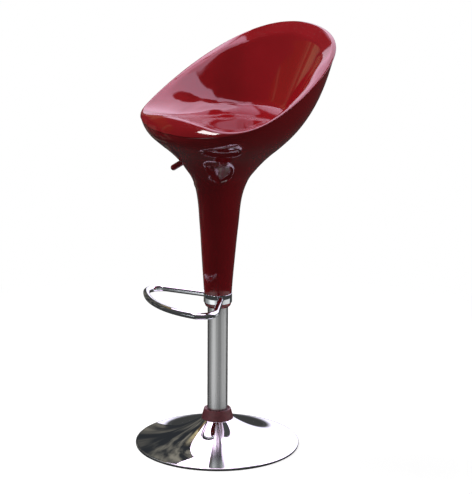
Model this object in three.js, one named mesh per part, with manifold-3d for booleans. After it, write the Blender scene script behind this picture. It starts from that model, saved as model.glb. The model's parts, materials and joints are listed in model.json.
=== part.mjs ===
// Bar stool with a moulded scoop seat: gas lift, swivel, looped footrest and trumpet base.
// Millimetres, +Z up, floor at Z = 0. The sitter faces -Y and the sitter's left is +X.
// Modelled raised to the top of the stroke. The origin lies under the middle of the whole outline.
import * as THREE from "three";
import { mergeVertices } from "three/addons/utils/BufferGeometryUtils.js";
import Module from "manifold-3d";

const wasm = await Module();
wasm.setup();

// Clearances and overruns
const SEAT_GAP = 0.3;      // between pieces that rest on each other
const CUT_OVERRUN = 2;     // how far a cutter passes the wall that it cuts

// Base: spun dome, rubber ring, weight plate and socket
const BASE_RADIUS = 205;
const RING_HEIGHT = 3;
const RING_WIDTH = 9;
const RING_INSET = 0.6;
const DOME_WALL = 1.6;
const DOME_EDGE_HEIGHT = 7.2;
const DOME_EDGE_ROUND = 1.5;
const DOME_COLLAR_HEIGHT = 67.2;
const DOME_MOUTH_RADIUS = 29;
const DOME_SLOPE_SHARE = 0.4;      // share of the rise that is a plain cone; the rest sweeps up
const DOME_SWEEP_POWER = 2.4;
const PLATE_SKIN = 1.4;
const PLATE_THICKNESS = 6;
const PLATE_MARGIN = 45;           // from the dome's edge in to the thick part of the plate
const PLATE_HOLE_RADIUS = 21;
const HUB_FLANGE_RADIUS = 46;
const HUB_FLANGE_THICKNESS = 4;
const HUB_WALL = 3.4;
const HUB_HEIGHT = 56;
const HUB_LEDGE = 5;

// Foot collar: the dark red ring that hides the joint of column and dome
const COLLAR_FOOT_RADIUS = 40.3;
const COLLAR_TOP_RADIUS = 33.5;
const COLLAR_TOP = 92.5;
const COLLAR_WALL = 3;
const COLLAR_ROOF = 3.5;
const COLLAR_BEVEL = 3;

// Column: outer tube, end disc and the guide bush in its mouth
const COLUMN_RADIUS = 25.4;
const COLUMN_WALL = 1.5;
const COLUMN_TOP = 424;
const END_DISC_THICKNESS = 4;
const BUSH_LENGTH = 80;
const BUSH_FLANGE = 3.5;

// Thrust bearing on the end disc
const RACE_RADIUS = 16;
const RACE_THICKNESS = 2;
const BALL_RADIUS = 2;
const BALL_CIRCLE = 11;
const CAGE_HEIGHT = 1.6;
const CAGE_WIDTH = 5.6;

// Gas spring: rod, piston, cylinder, clip, bump stop and valve pin
const ROD_RADIUS = 5;
const ROD_TAIL = 6;
const ROD_SHOULDER_RADIUS = 8;
const ROD_SHOULDER_HEIGHT = 2;
const CLIP_THICKNESS = 1.2;
const CLIP_RADIUS = 8.5;
const CLIP_GROOVE = 0.9;
const STOP_RADIUS = 14;
const STOP_HEIGHT = 16;
const CYLINDER_RADIUS = 14;
const CYLINDER_WALL = 1.5;
const CYLINDER_FOOT = 338;
const CYLINDER_HEADROOM = 45;      // from the cylinder's top up to the mount plate
const CYLINDER_CAP = 8;
const CYLINDER_ROOF = 10;
const TAPER_LENGTH = 40;
const TAPER_DROP = 0.6;
const PISTON_HEIGHT = 15;
const PIN_RADIUS = 2;
const PIN_LENGTH = 22;
const PIN_PROUD = 7;

// Footrest: ring round the neck, tube loop and set screw
const CLAMP_FOOT = 369.3;
const CLAMP_HEIGHT = 23;
const CLAMP_RADIUS = 35.2;
const CLAMP_WALL = 2;
const LOOP_TUBE_RADIUS = 8.2;
const LOOP_REACH = 166.6;
const LOOP_FRONT_RADIUS = 252;
const LOOP_CORNER_RADIUS = 36;
const LOOP_CORNER_ANGLE = 28.7;   // degrees from the middle of the front bar to the corner's start
const LOOP_ROOT_ANGLE = 72.5;     // degrees round the ring from the front to each leg's root
const LOOP_RISE = 13;              // of the tube's middle above the ring's foot
const FOOTREST_TURN = -9.5;       // degrees, as the ring is fixed on the neck
const SET_SCREW_RADIUS = 3;
const SET_SCREW_LENGTH = 5;

// Neck bush: the dark red sleeve that closes the neck's mouth and slides on the column
const NECK_BUSH_LIP_DEPTH = 12;
const NECK_BUSH_LIP_WALL = 1.8;
const NECK_BUSH_LIP_RADIUS = 33.7;
const NECK_BUSH_PLUG = 32;

// Seat skirt: neck, funnel and upper wall of the outer shell
const SHELL_WALL = 3.5;
const NECK_CLEARANCE = 0.5;        // above the footrest ring
const NECK_FOOT_RADIUS = 35.4;
const SHOULDER_HEIGHT = 775;
const SHOULDER_RADIUS = 159;
const SHOULDER_HALF_WIDTH = 170.5;
const SHOULDER_HALF_DEPTH = 144.8;
const FUNNEL_SET_BACK = 7.5;
const SHOULDER_SLOPE_SHARE = 1.14;
const SHOULDER_FORWARD_SHARE = 0.16;
const RIM_SLOPE_FRONT_SHARE = 0.04;
const RIM_SLOPE_BACK_SHARE = 0.3;
// Shares of the height from neck foot to shoulder, the radius from foot to shoulder and the set-back
const FUNNEL_SHARES = [
  [0, 0, 0], [0.27, 0.062, 0.1], [0.482, 0.117, 0.3], [0.588, 0.146, 0.48], [0.641, 0.171, 0.55],
  [0.728, 0.25, 0.77], [0.806, 0.398, 0.89], [0.885, 0.602, 1], [0.945, 0.803, 0.78], [1, 1, 0.29],
];
const ROUND_NECK_SHARE = 0.64;     // share of that height where the neck stops being round
const ROUND_POWER = 2;             // of a section: 2 is an ellipse, more is squarer
const SHOULDER_POWER = 2.2;

// Seat rim: plan, and crest heights above the shoulder
const RIM_HALF_WIDTH = 234;
const RIM_WIDEST_BACK = 58;
const RIM_FRONT_REACH = 154;
const RIM_BACK_REACH = 279;
const RIM_POWER = 2.4;
const CREST_FRONT = 67;
const CREST_LOW = 58;
const CREST_SIDE = 127;
const CREST_SHOULDER = 217;
const CREST_BACK = 266;
const CREST_LOW_ANGLE = 50;
const CREST_SHOULDER_ANGLE = 130;
const LIP_ROUND = 5;
const LIP_EDGE_DROP = 8;           // drop of the lip's edge below the crest at the sides and back
const LIP_FRONT_DROP = 33;         // and at the middle of the front
// Degrees from the front, share of the way from edge drop to front drop
const LIP_DROP_SHARES = [[0, 1], [16, 0.8], [33, 0.25], [50, 0.03], [60, 0], [180, 0]];

// Seat dish: pan and walls of the inner shell
const PAN_RISE = 43;               // above the shoulder
const PAN_CENTRE = 40;             // behind the column
// Share of the way from pan centre to crest, then shares of the rise at the sides and at the back
const DISH_SHARES = [
  [0.2, 0.002, 0], [0.4, 0.015, 0.008], [0.52, 0.045, 0.04], [0.6, 0.085, 0.13], [0.68, 0.16, 0.285],
  [0.76, 0.265, 0.455], [0.84, 0.52, 0.7], [0.9, 0.75, 0.84], [0.95, 0.91, 0.94], [1, 1, 1],
];
const BACK_FROM_ANGLE = 88;        // degrees from the front where the side's form turns into the back's
const BACK_FULL_ANGLE = 157;

// Finger recesses moulded on both sides of the skirt, and the lever's slot
const RECESS_AZIMUTH = -37;        // sitter's left one; the other is its mirror image
const RECESS_DEPTH = 7;
const ALMOND_WIDTH = 92;
const ALMOND_HEIGHT = 30;
const ALMOND_TILT = 9;
const ALMOND_DROP = 0.6;            // from the shoulder down to the almond's middle
const ALMOND_SHIFT = 2.5;
const SCOOP_WIDTH = 64;
const SCOOP_DROP = 43;             // from the shoulder down to the scoop's top
const SCOOP_HEIGHT = 56;
const SCOOP_CORNER = 16;
const SCOOP_TIP_SHARE = 0.12;
const SCOOP_BELLY_SHARE = 0.35;
const LEVER_SLOT_WIDTH = 14;
const LEVER_SLOT_HEIGHT = 32;
const LEVER_SLOT_DROP = 47.5;      // from the lever's pivot down to the slot's middle

// Seat mount: plate, socket and screws
const MOUNT_PLATE_WIDTH = 150;
const MOUNT_PLATE_DEPTH = 110;
const MOUNT_PLATE_THICKNESS = 3;
const MOUNT_PLATE_DROP = 28;       // below the pan
const MOUNT_PLATE_CORNER = 12;
const SOCKET_RADIUS = 24;
const SOCKET_LENGTH = 90;
const SCREW_SPACING_X = 110;
const SCREW_SPACING_Y = 76;
const SCREW_RADIUS = 2.4;
const SCREW_HEAD_RADIUS = 5;
const SCREW_HEAD_HEIGHT = 3;
const SCREW_BITE = 15;
const BOSS_RADIUS = 8;

// Release lever in the plane through the column at the mirrored recess's azimuth
const LEVER_PIVOT_REACH = 17;
const LEVER_PIVOT_RISE = 12.5;     // above the release pin
const LEVER_TIP_REACH = 114;
const LEVER_DROP = 64;             // from pivot to tip
const LEVER_EYE_RADIUS = 6.5;
const LEVER_STRIP_WIDTH = 8;
const LEVER_TONGUE_THICKNESS = 5;
const LEVER_TONGUE_TAIL = 4;
const LEVER_ROD_RADIUS = 4;
const LEVER_GRIP_RADIUS = 5.7;
const LEVER_GRIP_LENGTH = 56;
const LEVER_SIDE_GAP = 1;
const PIVOT_PIN_RADIUS = 2.5;
const PIVOT_PIN_LENGTH = 32;

// Counts of sides and steps
const WIDE_SIDES = 60;
const SMALL_SIDES = 28;
const TINY_SIDES = 20;
const SEAT_SIDES = 52;
const WALL_STEPS = 5;
const DOME_STEPS = 7;
const LOOP_STEPS = 50;
const LOOP_ARC_STEPS = 7;
const BALL_COUNT = 10;
const BALL_SIDES = 8;
const BALL_STEPS = 6;
const GRIP_END_STEPS = 4;
const OUTLINE_STEPS = 4;
const CORNER_STEPS = 6;

// Colours, roughness and metalness
const darkRed = { color: 0x641019, roughness: 0.16, metalness: 0 };
const collarRed = { color: 0x6a1a24, roughness: 0.4, metalness: 0 };
const chrome = { color: 0xc9ced2, roughness: 0.06, metalness: 1 };
const brushedSteel = { color: 0xa3a5a6, roughness: 0.34, metalness: 1 };
const zincSteel = { color: 0x8f9397, roughness: 0.45, metalness: 1 };
const blackSteel = { color: 0x1c1d1f, roughness: 0.5, metalness: 0.2 };
const blackRubber = { color: 0x151515, roughness: 0.85, metalness: 0 };
const blackNylon = { color: 0x222222, roughness: 0.6, metalness: 0 };

// Values that follow from the sizes above
const AXIS_Y = (BASE_RADIUS - RIM_BACK_REACH) / 2;
const BORE_RADIUS = COLUMN_RADIUS + SEAT_GAP;
const COLUMN_BORE = COLUMN_RADIUS - COLUMN_WALL;
const PLATE_FOOT = RING_HEIGHT + SEAT_GAP;
const PLATE_TOP = PLATE_FOOT + PLATE_THICKNESS;
const HUB_FOOT = PLATE_TOP + SEAT_GAP;
const COLUMN_FOOT = HUB_FOOT + HUB_FLANGE_THICKNESS + SEAT_GAP;
const DISC_TOP = COLUMN_FOOT + END_DISC_THICKNESS;
const LOWER_RACE_FOOT = DISC_TOP + SEAT_GAP;
const BALL_FOOT = LOWER_RACE_FOOT + RACE_THICKNESS + SEAT_GAP;
const UPPER_RACE_FOOT = BALL_FOOT + 2 * BALL_RADIUS + SEAT_GAP;
const ROD_SHOULDER_FOOT = UPPER_RACE_FOOT + RACE_THICKNESS + SEAT_GAP;
const STOP_FOOT = ROD_SHOULDER_FOOT + ROD_SHOULDER_HEIGHT + SEAT_GAP;
const CLIP_FOOT = COLUMN_FOOT - SEAT_GAP - CLIP_THICKNESS;
const PLATE_RADIUS = BASE_RADIUS - PLATE_MARGIN;
const PAN_HEIGHT = SHOULDER_HEIGHT + PAN_RISE;
const MOUNT_PLATE_FOOT = PAN_HEIGHT - MOUNT_PLATE_DROP;
const SOCKET_FOOT = MOUNT_PLATE_FOOT - SOCKET_LENGTH;
const CYLINDER_TOP = MOUNT_PLATE_FOOT - CYLINDER_HEADROOM;
const CYLINDER_BORE = CYLINDER_RADIUS - CYLINDER_WALL;
const PISTON_FOOT = CYLINDER_FOOT + CYLINDER_CAP + SEAT_GAP;
const PIN_TOP = CYLINDER_TOP + PIN_PROUD;
const CLAMP_BORE = CLAMP_RADIUS - CLAMP_WALL;
const CLAMP_TOP = CLAMP_FOOT + CLAMP_HEIGHT;
const LOOP_HEIGHT = CLAMP_FOOT + LOOP_RISE;
const NECK_BUSH_LIP_FOOT = CLAMP_FOOT - NECK_BUSH_LIP_DEPTH;
const NECK_FOOT = CLAMP_TOP + NECK_CLEARANCE;
const ALMOND_MIDDLE = SHOULDER_HEIGHT - ALMOND_DROP;
const SCOOP_TOP = SHOULDER_HEIGHT - SCOOP_DROP;
const LEVER_PIVOT_HEIGHT = PIN_TOP + LEVER_PIVOT_RISE;
const LEVER_TIP_HEIGHT = LEVER_PIVOT_HEIGHT - LEVER_DROP;
const LEVER_SLOT_MIDDLE = LEVER_PIVOT_HEIGHT - LEVER_SLOT_DROP;
const NECK_LENGTH = SHOULDER_HEIGHT - NECK_FOOT;
const LEVER_AZIMUTH = -180 - RECESS_AZIMUTH;

const radians = THREE.MathUtils.degToRad;
const lerp = THREE.MathUtils.lerp;
const clamp = THREE.MathUtils.clamp;

// Geometry helpers

// Position-only geometry with shared vertices, no flat-out triangles, faces outward
function closedGeometry(geometry) {
  const bare = geometry.index ? geometry.toNonIndexed() : geometry.clone();
  bare.deleteAttribute("normal");
  bare.deleteAttribute("uv");
  const merged = mergeVertices(bare);
  const index = merged.index.array;
  const kept = [];
  for (let i = 0; i < index.length; i += 3) {
    const [a, b, c] = [index[i], index[i + 1], index[i + 2]];
    if (a !== b && b !== c && c !== a) {
      kept.push(a, b, c);
    }
  }
  merged.setIndex(kept);
  if (signedVolume(merged) < 0) merged.setIndex(kept.reverse());
  return merged;
}

function signedVolume(geometry) {
  const at = geometry.attributes.position;
  const index = geometry.index.array;
  const [a, b, c] = [new THREE.Vector3(), new THREE.Vector3(), new THREE.Vector3()];
  let sum = 0;
  for (let i = 0; i < index.length; i += 3) {
    a.fromBufferAttribute(at, index[i]);
    b.fromBufferAttribute(at, index[i + 1]);
    c.fromBufferAttribute(at, index[i + 2]);
    sum += a.dot(b.cross(c)) / 6;
  }
  return sum;
}

function toSolid(geometry) {
  const closed = closedGeometry(geometry);
  return new wasm.Manifold(new wasm.Mesh({
    numProp: 3,
    vertProperties: new Float32Array(closed.attributes.position.array),
    triVerts: new Uint32Array(closed.index.array),
  }));
}

function toGeometry(solid) {
  const mesh = solid.getMesh();
  const geometry = new THREE.BufferGeometry();
  geometry.setAttribute("position", new THREE.BufferAttribute(new Float32Array(mesh.vertProperties), 3));
  geometry.setIndex(new THREE.BufferAttribute(new Uint32Array(mesh.triVerts), 1));
  return geometry;
}

// Cut, join or overlap of closed geometries
function cut(body, ...tools) {
  return toGeometry(tools.reduce((solid, tool) => solid.subtract(toSolid(tool)), toSolid(body)));
}

function join(body, ...others) {
  return toGeometry(others.reduce((solid, other) => solid.add(toSolid(other)), toSolid(body)));
}

function overlap(body, other) {
  return toGeometry(toSolid(body).intersect(toSolid(other)));
}

// Body of revolution about Z from a closed outline of [radius, height] points
function revolve(outline, sides) {
  const points = [...outline, outline[0]].map(([r, z]) => new THREE.Vector2(r, z));
  return closedGeometry(new THREE.LatheGeometry(points, sides).rotateX(Math.PI / 2));
}

function ring(inner, outer, foot, top, sides) {
  return revolve([[inner, foot], [outer, foot], [outer, top], [inner, top]], sides);
}

function rod(radius, foot, top, sides) {
  return revolve([[0, foot], [radius, foot], [radius, top], [0, top]], sides);
}

// Upright plate: an outline drawn in X and Z, centred on the plane Y = 0
function uprightPlate(shape, width, curveSegments) {
  const geometry = new THREE.ExtrudeGeometry(shape, { depth: width, bevelEnabled: false, curveSegments });
  return geometry.translate(0, 0, -width / 2).rotateX(Math.PI / 2);
}

// Smooth value at x through [x, value] knots; flat ends where asked
function along(knots, x, flatEnds = false) {
  const last = knots.length - 1;
  const slope = (i) => {
    if (flatEnds && (i === 0 || i === last)) return 0;
    const [a, b] = [knots[Math.max(i - 1, 0)], knots[Math.min(i + 1, last)]];
    return (b[1] - a[1]) / (b[0] - a[0]);
  };
  let i = 0;
  while (i < last - 1 && x > knots[i + 1][0]) i += 1;
  const [[x0, y0], [x1, y1]] = [knots[i], knots[i + 1]];
  const span = x1 - x0;
  return hermite(y0, y1, slope(i) * span, slope(i + 1) * span, (x - x0) / span);
}

function hermite(start, end, startSlope, endSlope, s) {
  const [s2, s3] = [s * s, s * s * s];
  return (2 * s3 - 3 * s2 + 1) * start + (s3 - 2 * s2 + s) * startSlope
    + (3 * s2 - 2 * s3) * end + (s3 - s2) * endSlope;
}

// Closed body through rows of points. Closed rows meet end to end; others fan to their middles.
function loft(rows, closed) {
  const count = rows[0].length;
  const points = rows.flat();
  const faces = [];
  const rowTotal = closed ? rows.length : rows.length - 1;
  for (let i = 0; i < rowTotal; i += 1) {
    const [low, high] = [i * count, ((i + 1) % rows.length) * count];
    for (let j = 0; j < count; j += 1) {
      const next = (j + 1) % count;
      faces.push(low + j, low + next, high + next, low + j, high + next, high + j);
    }
  }
  if (!closed) {
    for (const [row, turned] of [[0, true], [rows.length - 1, false]]) {
      const middle = rows[row].reduce((sum, p) => sum.add(p), new THREE.Vector3()).divideScalar(count);
      points.push(middle);
      for (let j = 0; j < count; j += 1) {
        const [a, b] = [row * count + j, row * count + ((j + 1) % count)];
        faces.push(...(turned ? [b, a, points.length - 1] : [a, b, points.length - 1]));
      }
    }
  }
  const geometry = new THREE.BufferGeometry().setFromPoints(points);
  geometry.setIndex(faces);
  return closedGeometry(geometry);
}

// Rows moved by a distance along the surface's own normals, outward for rows that run up a wall.
// Level rows keep their height.
function offsetRows(rows, distance, levelRows) {
  const count = rows[0].length;
  return rows.map((row, i) => row.map((point, j) => {
    const around = row[(j + 1) % count].clone().sub(row[(j + count - 1) % count]);
    const up = rows[Math.min(i + 1, rows.length - 1)][j].clone().sub(rows[Math.max(i - 1, 0)][j]);
    const level = levelRows.includes(i);
    const normal = level ? around.setZ(0).cross(up.set(0, 0, Math.sign(up.z))) : around.cross(up);
    return point.clone().addScaledVector(normal.normalize(), distance);
  }));
}

// Seat surfaces. The turn runs from 0 at the front, over the sitter's left, to 180 at the back.

function roundPower(value, power) {
  return Math.sign(value) * Math.abs(value) ** (2 / power);
}

// Point of an egg-shaped level outline
function planPoint(turn, halfWidth, front, back, middle, power) {
  const [sine, cosine] = [Math.sin(turn), Math.cos(turn)];
  const reach = cosine > 0 ? front + middle : back - middle;
  return new THREE.Vector2(halfWidth * roundPower(sine, power), middle - reach * roundPower(cosine, power));
}

function rimPlan(turn) {
  return planPoint(turn, RIM_HALF_WIDTH, RIM_FRONT_REACH, RIM_BACK_REACH, RIM_WIDEST_BACK, RIM_POWER);
}

function degreesFromFront(turn) {
  return Math.abs(THREE.MathUtils.euclideanModulo(turn * THREE.MathUtils.RAD2DEG + 180, 360) - 180);
}

function crestHeight(turn) {
  const knots = [
    [0, CREST_FRONT], [CREST_LOW_ANGLE, CREST_LOW], [90, CREST_SIDE],
    [CREST_SHOULDER_ANGLE, CREST_SHOULDER], [180, CREST_BACK],
  ];
  return SHOULDER_HEIGHT + along(knots, degreesFromFront(turn), true);
}

// Height of the lip's edge, where dish and skirt meet
function edgeHeight(turn) {
  const forward = along(LIP_DROP_SHARES, degreesFromFront(turn));
  return crestHeight(turn) - lerp(LIP_EDGE_DROP, LIP_FRONT_DROP, forward);
}

function turns() {
  return Array.from({ length: SEAT_SIDES }, (_, j) => (2 * Math.PI * j) / SEAT_SIDES);
}

// Level section of neck and funnel at a share of the height from neck foot to shoulder
function funnelPoint(turn, heightShare) {
  const radius = lerp(NECK_FOOT_RADIUS, SHOULDER_RADIUS, along(FUNNEL_SHARES, heightShare));
  const setBack = FUNNEL_SET_BACK * along(FUNNEL_SHARES.map(([height, , back]) => [height, back]), heightShare);
  const blend = clamp((heightShare - ROUND_NECK_SHARE) / (1 - ROUND_NECK_SHARE), 0, 1);
  const width = radius * lerp(1, SHOULDER_HALF_WIDTH / SHOULDER_RADIUS, blend);
  const depth = radius * lerp(1, SHOULDER_HALF_DEPTH / SHOULDER_RADIUS, blend);
  const power = lerp(ROUND_POWER, SHOULDER_POWER, blend);
  const plan = planPoint(turn, width, depth - setBack, depth + setBack, setBack, power);
  return new THREE.Vector3(plan.x, plan.y, NECK_FOOT + NECK_LENGTH * heightShare);
}

// Upper wall: leaves the funnel at the shoulder and runs up to the lip's edge
function wallPoint(turn, s) {
  const start = funnelPoint(turn, 1);
  const plan = rimPlan(turn);
  const rise = edgeHeight(turn) - SEAT_GAP - SHOULDER_HEIGHT;
  const lean = lerp(RIM_SLOPE_FRONT_SHARE, RIM_SLOPE_BACK_SHARE, (1 - Math.cos(turn)) / 2);
  const place = (from, to, forward) => {
    const slope = (from / SHOULDER_RADIUS) * SHOULDER_SLOPE_SHARE - forward;
    return hermite(from, to, slope * rise, (to / plan.length()) * lean * rise, s);
  };
  const y = place(start.y, plan.y, SHOULDER_FORWARD_SHARE);
  return new THREE.Vector3(place(start.x, plan.x, 0), y, SHOULDER_HEIGHT + rise * s);
}

function skirtRows() {
  const rows = FUNNEL_SHARES.map(([height]) => turns().map((turn) => funnelPoint(turn, height)));
  for (let i = 1; i <= WALL_STEPS; i += 1) {
    rows.push(turns().map((turn) => wallPoint(turn, i / WALL_STEPS)));
  }
  return rows;
}

// Dish top from the pan's middle out to the crest, then over the round lip down to its edge
function dishRows() {
  const centre = new THREE.Vector2(0, PAN_CENTRE);
  const inset = (turn, depth) => {
    const plan = rimPlan(turn);
    return plan.add(centre.clone().sub(plan).setLength(depth));
  };
  const rows = DISH_SHARES.map(([out, sideUp, backUp]) => turns().map((turn) => {
    const plan = centre.clone().lerp(inset(turn, LIP_ROUND), out);
    const back = THREE.MathUtils.smoothstep(degreesFromFront(turn), BACK_FROM_ANGLE, BACK_FULL_ANGLE);
    return new THREE.Vector3(plan.x, plan.y, lerp(PAN_HEIGHT, crestHeight(turn), lerp(sideUp, backUp, back)));
  }));
  const roundShare = 1 - Math.SQRT1_2;
  rows.push(turns().map((turn) => {
    const plan = inset(turn, LIP_ROUND * roundShare);
    return new THREE.Vector3(plan.x, plan.y, crestHeight(turn) - LIP_ROUND * roundShare);
  }));
  rows.push(turns().map((turn) => {
    const plan = rimPlan(turn);
    return new THREE.Vector3(plan.x, plan.y, crestHeight(turn) - LIP_ROUND);
  }));
  rows.push(turns().map((turn) => {
    const plan = rimPlan(turn);
    return new THREE.Vector3(plan.x, plan.y, edgeHeight(turn));
  }));
  return rows;
}

// Base

// Height of the dome's outer face: a trumpet that is nearly flat at the edge and steep at the collar
function domeHeight(radius) {
  const edge = BASE_RADIUS - DOME_EDGE_ROUND;
  const inward = (edge - radius) / (edge - COLLAR_FOOT_RADIUS);
  const upward = lerp(inward ** DOME_SWEEP_POWER, inward, DOME_SLOPE_SHARE);
  return lerp(DOME_EDGE_HEIGHT, DOME_COLLAR_HEIGHT, upward);
}

function baseDome() {
  const edge = BASE_RADIUS - DOME_EDGE_ROUND;
  const outer = [[BASE_RADIUS, PLATE_FOOT], [BASE_RADIUS, DOME_EDGE_HEIGHT - DOME_EDGE_ROUND]];
  const inner = [[BASE_RADIUS - DOME_WALL, PLATE_FOOT], [BASE_RADIUS - DOME_WALL, DOME_EDGE_HEIGHT - DOME_WALL]];
  for (let i = 0; i <= DOME_STEPS; i += 1) {
    const radius = lerp(edge, COLLAR_FOOT_RADIUS, i / DOME_STEPS);
    outer.push([radius, domeHeight(radius)]);
    if (i > 0) inner.push([radius, domeHeight(radius) - DOME_WALL]);
  }
  outer.push([DOME_MOUTH_RADIUS, DOME_COLLAR_HEIGHT]);
  inner.push([DOME_MOUTH_RADIUS, DOME_COLLAR_HEIGHT - DOME_WALL]);
  return revolve([...outer, ...inner.reverse()], WIDE_SIDES);
}

function baseRing() {
  const outer = BASE_RADIUS - RING_INSET;
  return ring(outer - RING_WIDTH, outer, 0, RING_HEIGHT, WIDE_SIDES);
}

function basePlate() {
  const outer = BASE_RADIUS - DOME_WALL - SEAT_GAP;
  return revolve([
    [PLATE_HOLE_RADIUS, PLATE_FOOT], [outer, PLATE_FOOT], [outer, PLATE_FOOT + PLATE_SKIN],
    [PLATE_RADIUS, PLATE_FOOT + PLATE_SKIN], [PLATE_RADIUS, PLATE_TOP], [PLATE_HOLE_RADIUS, PLATE_TOP],
  ], WIDE_SIDES);
}

function baseHub() {
  const wall = BORE_RADIUS + HUB_WALL;
  const flangeTop = HUB_FOOT + HUB_FLANGE_THICKNESS;
  return revolve([
    [BORE_RADIUS - HUB_LEDGE, HUB_FOOT], [HUB_FLANGE_RADIUS, HUB_FOOT], [HUB_FLANGE_RADIUS, flangeTop],
    [wall, flangeTop], [wall, HUB_FOOT + HUB_HEIGHT], [BORE_RADIUS, HUB_FOOT + HUB_HEIGHT],
    [BORE_RADIUS, flangeTop], [BORE_RADIUS - HUB_LEDGE, flangeTop],
  ], SMALL_SIDES);
}

function baseCollar() {
  const inner = COLLAR_FOOT_RADIUS - COLLAR_WALL;
  const roof = COLLAR_TOP - COLLAR_BEVEL - COLLAR_ROOF;
  return revolve([
    [COLLAR_FOOT_RADIUS, DOME_COLLAR_HEIGHT + SEAT_GAP], [COLLAR_TOP_RADIUS, COLLAR_TOP],
    [COLLAR_TOP_RADIUS - COLLAR_WALL, COLLAR_TOP],
    [COLLAR_TOP_RADIUS - COLLAR_WALL - COLLAR_BEVEL, COLLAR_TOP - COLLAR_BEVEL],
    [BORE_RADIUS, COLLAR_TOP - COLLAR_BEVEL], [BORE_RADIUS, roof],
    [COLLAR_TOP_RADIUS - COLLAR_WALL, roof], [inner, DOME_COLLAR_HEIGHT + SEAT_GAP],
  ], WIDE_SIDES);
}

// Column

function columnTube() {
  return revolve([
    [ROD_RADIUS + SEAT_GAP, COLUMN_FOOT], [COLUMN_RADIUS, COLUMN_FOOT], [COLUMN_RADIUS, COLUMN_TOP],
    [COLUMN_BORE, COLUMN_TOP], [COLUMN_BORE, DISC_TOP], [ROD_RADIUS + SEAT_GAP, DISC_TOP],
  ], SMALL_SIDES);
}

function columnBush() {
  const flangeFoot = COLUMN_TOP + SEAT_GAP;
  const plug = COLUMN_BORE - SEAT_GAP;
  return revolve([
    [CYLINDER_RADIUS + SEAT_GAP, flangeFoot - BUSH_LENGTH], [plug, flangeFoot - BUSH_LENGTH],
    [plug, flangeFoot], [COLUMN_RADIUS, flangeFoot], [COLUMN_RADIUS, flangeFoot + BUSH_FLANGE],
    [CYLINDER_RADIUS + SEAT_GAP, flangeFoot + BUSH_FLANGE],
  ], SMALL_SIDES);
}

function bearingRace(foot) {
  return ring(ROD_RADIUS + SEAT_GAP, RACE_RADIUS, foot, foot + RACE_THICKNESS, TINY_SIDES);
}

// Ball ring: balls standing proud of both faces of their cage
function bearingCage() {
  const middle = BALL_FOOT + BALL_RADIUS;
  const cage = ring(BALL_CIRCLE - CAGE_WIDTH / 2, BALL_CIRCLE + CAGE_WIDTH / 2,
    middle - CAGE_HEIGHT / 2, middle + CAGE_HEIGHT / 2, SMALL_SIDES);
  const balls = Array.from({ length: BALL_COUNT }, (_, i) => {
    const turn = (2 * Math.PI * i) / BALL_COUNT;
    return new THREE.SphereGeometry(BALL_RADIUS, BALL_SIDES, BALL_STEPS)
      .rotateX(Math.PI / 2)
      .translate(BALL_CIRCLE * Math.cos(turn), BALL_CIRCLE * Math.sin(turn), middle);
  });
  return join(cage, ...balls);
}

// Gas spring

function pistonRod() {
  const groove = ROD_RADIUS - CLIP_GROOVE;
  const grooveFoot = CLIP_FOOT - SEAT_GAP / 2;
  const grooveTop = CLIP_FOOT + CLIP_THICKNESS + SEAT_GAP / 2;
  const shoulderTop = ROD_SHOULDER_FOOT + ROD_SHOULDER_HEIGHT;
  return revolve([
    [0, CLIP_FOOT - ROD_TAIL], [ROD_RADIUS, CLIP_FOOT - ROD_TAIL], [ROD_RADIUS, grooveFoot],
    [groove, grooveFoot], [groove, grooveTop], [ROD_RADIUS, grooveTop], [ROD_RADIUS, ROD_SHOULDER_FOOT],
    [ROD_SHOULDER_RADIUS, ROD_SHOULDER_FOOT], [ROD_SHOULDER_RADIUS, shoulderTop], [ROD_RADIUS, shoulderTop],
    [ROD_RADIUS, PISTON_FOOT], [CYLINDER_BORE - SEAT_GAP, PISTON_FOOT],
    [CYLINDER_BORE - SEAT_GAP, PISTON_FOOT + PISTON_HEIGHT], [0, PISTON_FOOT + PISTON_HEIGHT],
  ], SMALL_SIDES);
}

function rodClip() {
  const inner = ROD_RADIUS - CLIP_GROOVE + SEAT_GAP;
  return ring(inner, CLIP_RADIUS, CLIP_FOOT, CLIP_FOOT + CLIP_THICKNESS, TINY_SIDES);
}

function bumpStop() {
  return ring(ROD_RADIUS + SEAT_GAP, STOP_RADIUS, STOP_FOOT, STOP_FOOT + STOP_HEIGHT, TINY_SIDES);
}

// The cylinder's head tapers into the seat's socket
function gasCylinder() {
  const roof = CYLINDER_TOP - CYLINDER_ROOF;
  return revolve([
    [ROD_RADIUS + SEAT_GAP, CYLINDER_FOOT], [CYLINDER_RADIUS, CYLINDER_FOOT],
    [CYLINDER_RADIUS, CYLINDER_TOP - TAPER_LENGTH], [CYLINDER_RADIUS - TAPER_DROP, CYLINDER_TOP],
    [PIN_RADIUS + SEAT_GAP, CYLINDER_TOP], [PIN_RADIUS + SEAT_GAP, roof], [CYLINDER_BORE, roof],
    [CYLINDER_BORE, CYLINDER_FOOT + CYLINDER_CAP], [ROD_RADIUS + SEAT_GAP, CYLINDER_FOOT + CYLINDER_CAP],
  ], SMALL_SIDES);
}

function releasePin() {
  return rod(PIN_RADIUS, PIN_TOP - PIN_LENGTH, PIN_TOP, TINY_SIDES);
}

// Neck bush and footrest

function neckBush() {
  const sleeve = CLAMP_BORE - SEAT_GAP;
  const plug = NECK_FOOT_RADIUS - SHELL_WALL - SEAT_GAP;
  return revolve([
    [BORE_RADIUS, NECK_BUSH_LIP_FOOT], [BORE_RADIUS + NECK_BUSH_LIP_WALL, NECK_BUSH_LIP_FOOT],
    [NECK_BUSH_LIP_RADIUS, CLAMP_FOOT - SEAT_GAP], [sleeve, CLAMP_FOOT - SEAT_GAP], [sleeve, CLAMP_TOP],
    [plug, CLAMP_TOP], [plug, CLAMP_TOP + NECK_BUSH_PLUG], [BORE_RADIUS, CLAMP_TOP + NECK_BUSH_PLUG],
  ], SMALL_SIDES);
}

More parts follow.
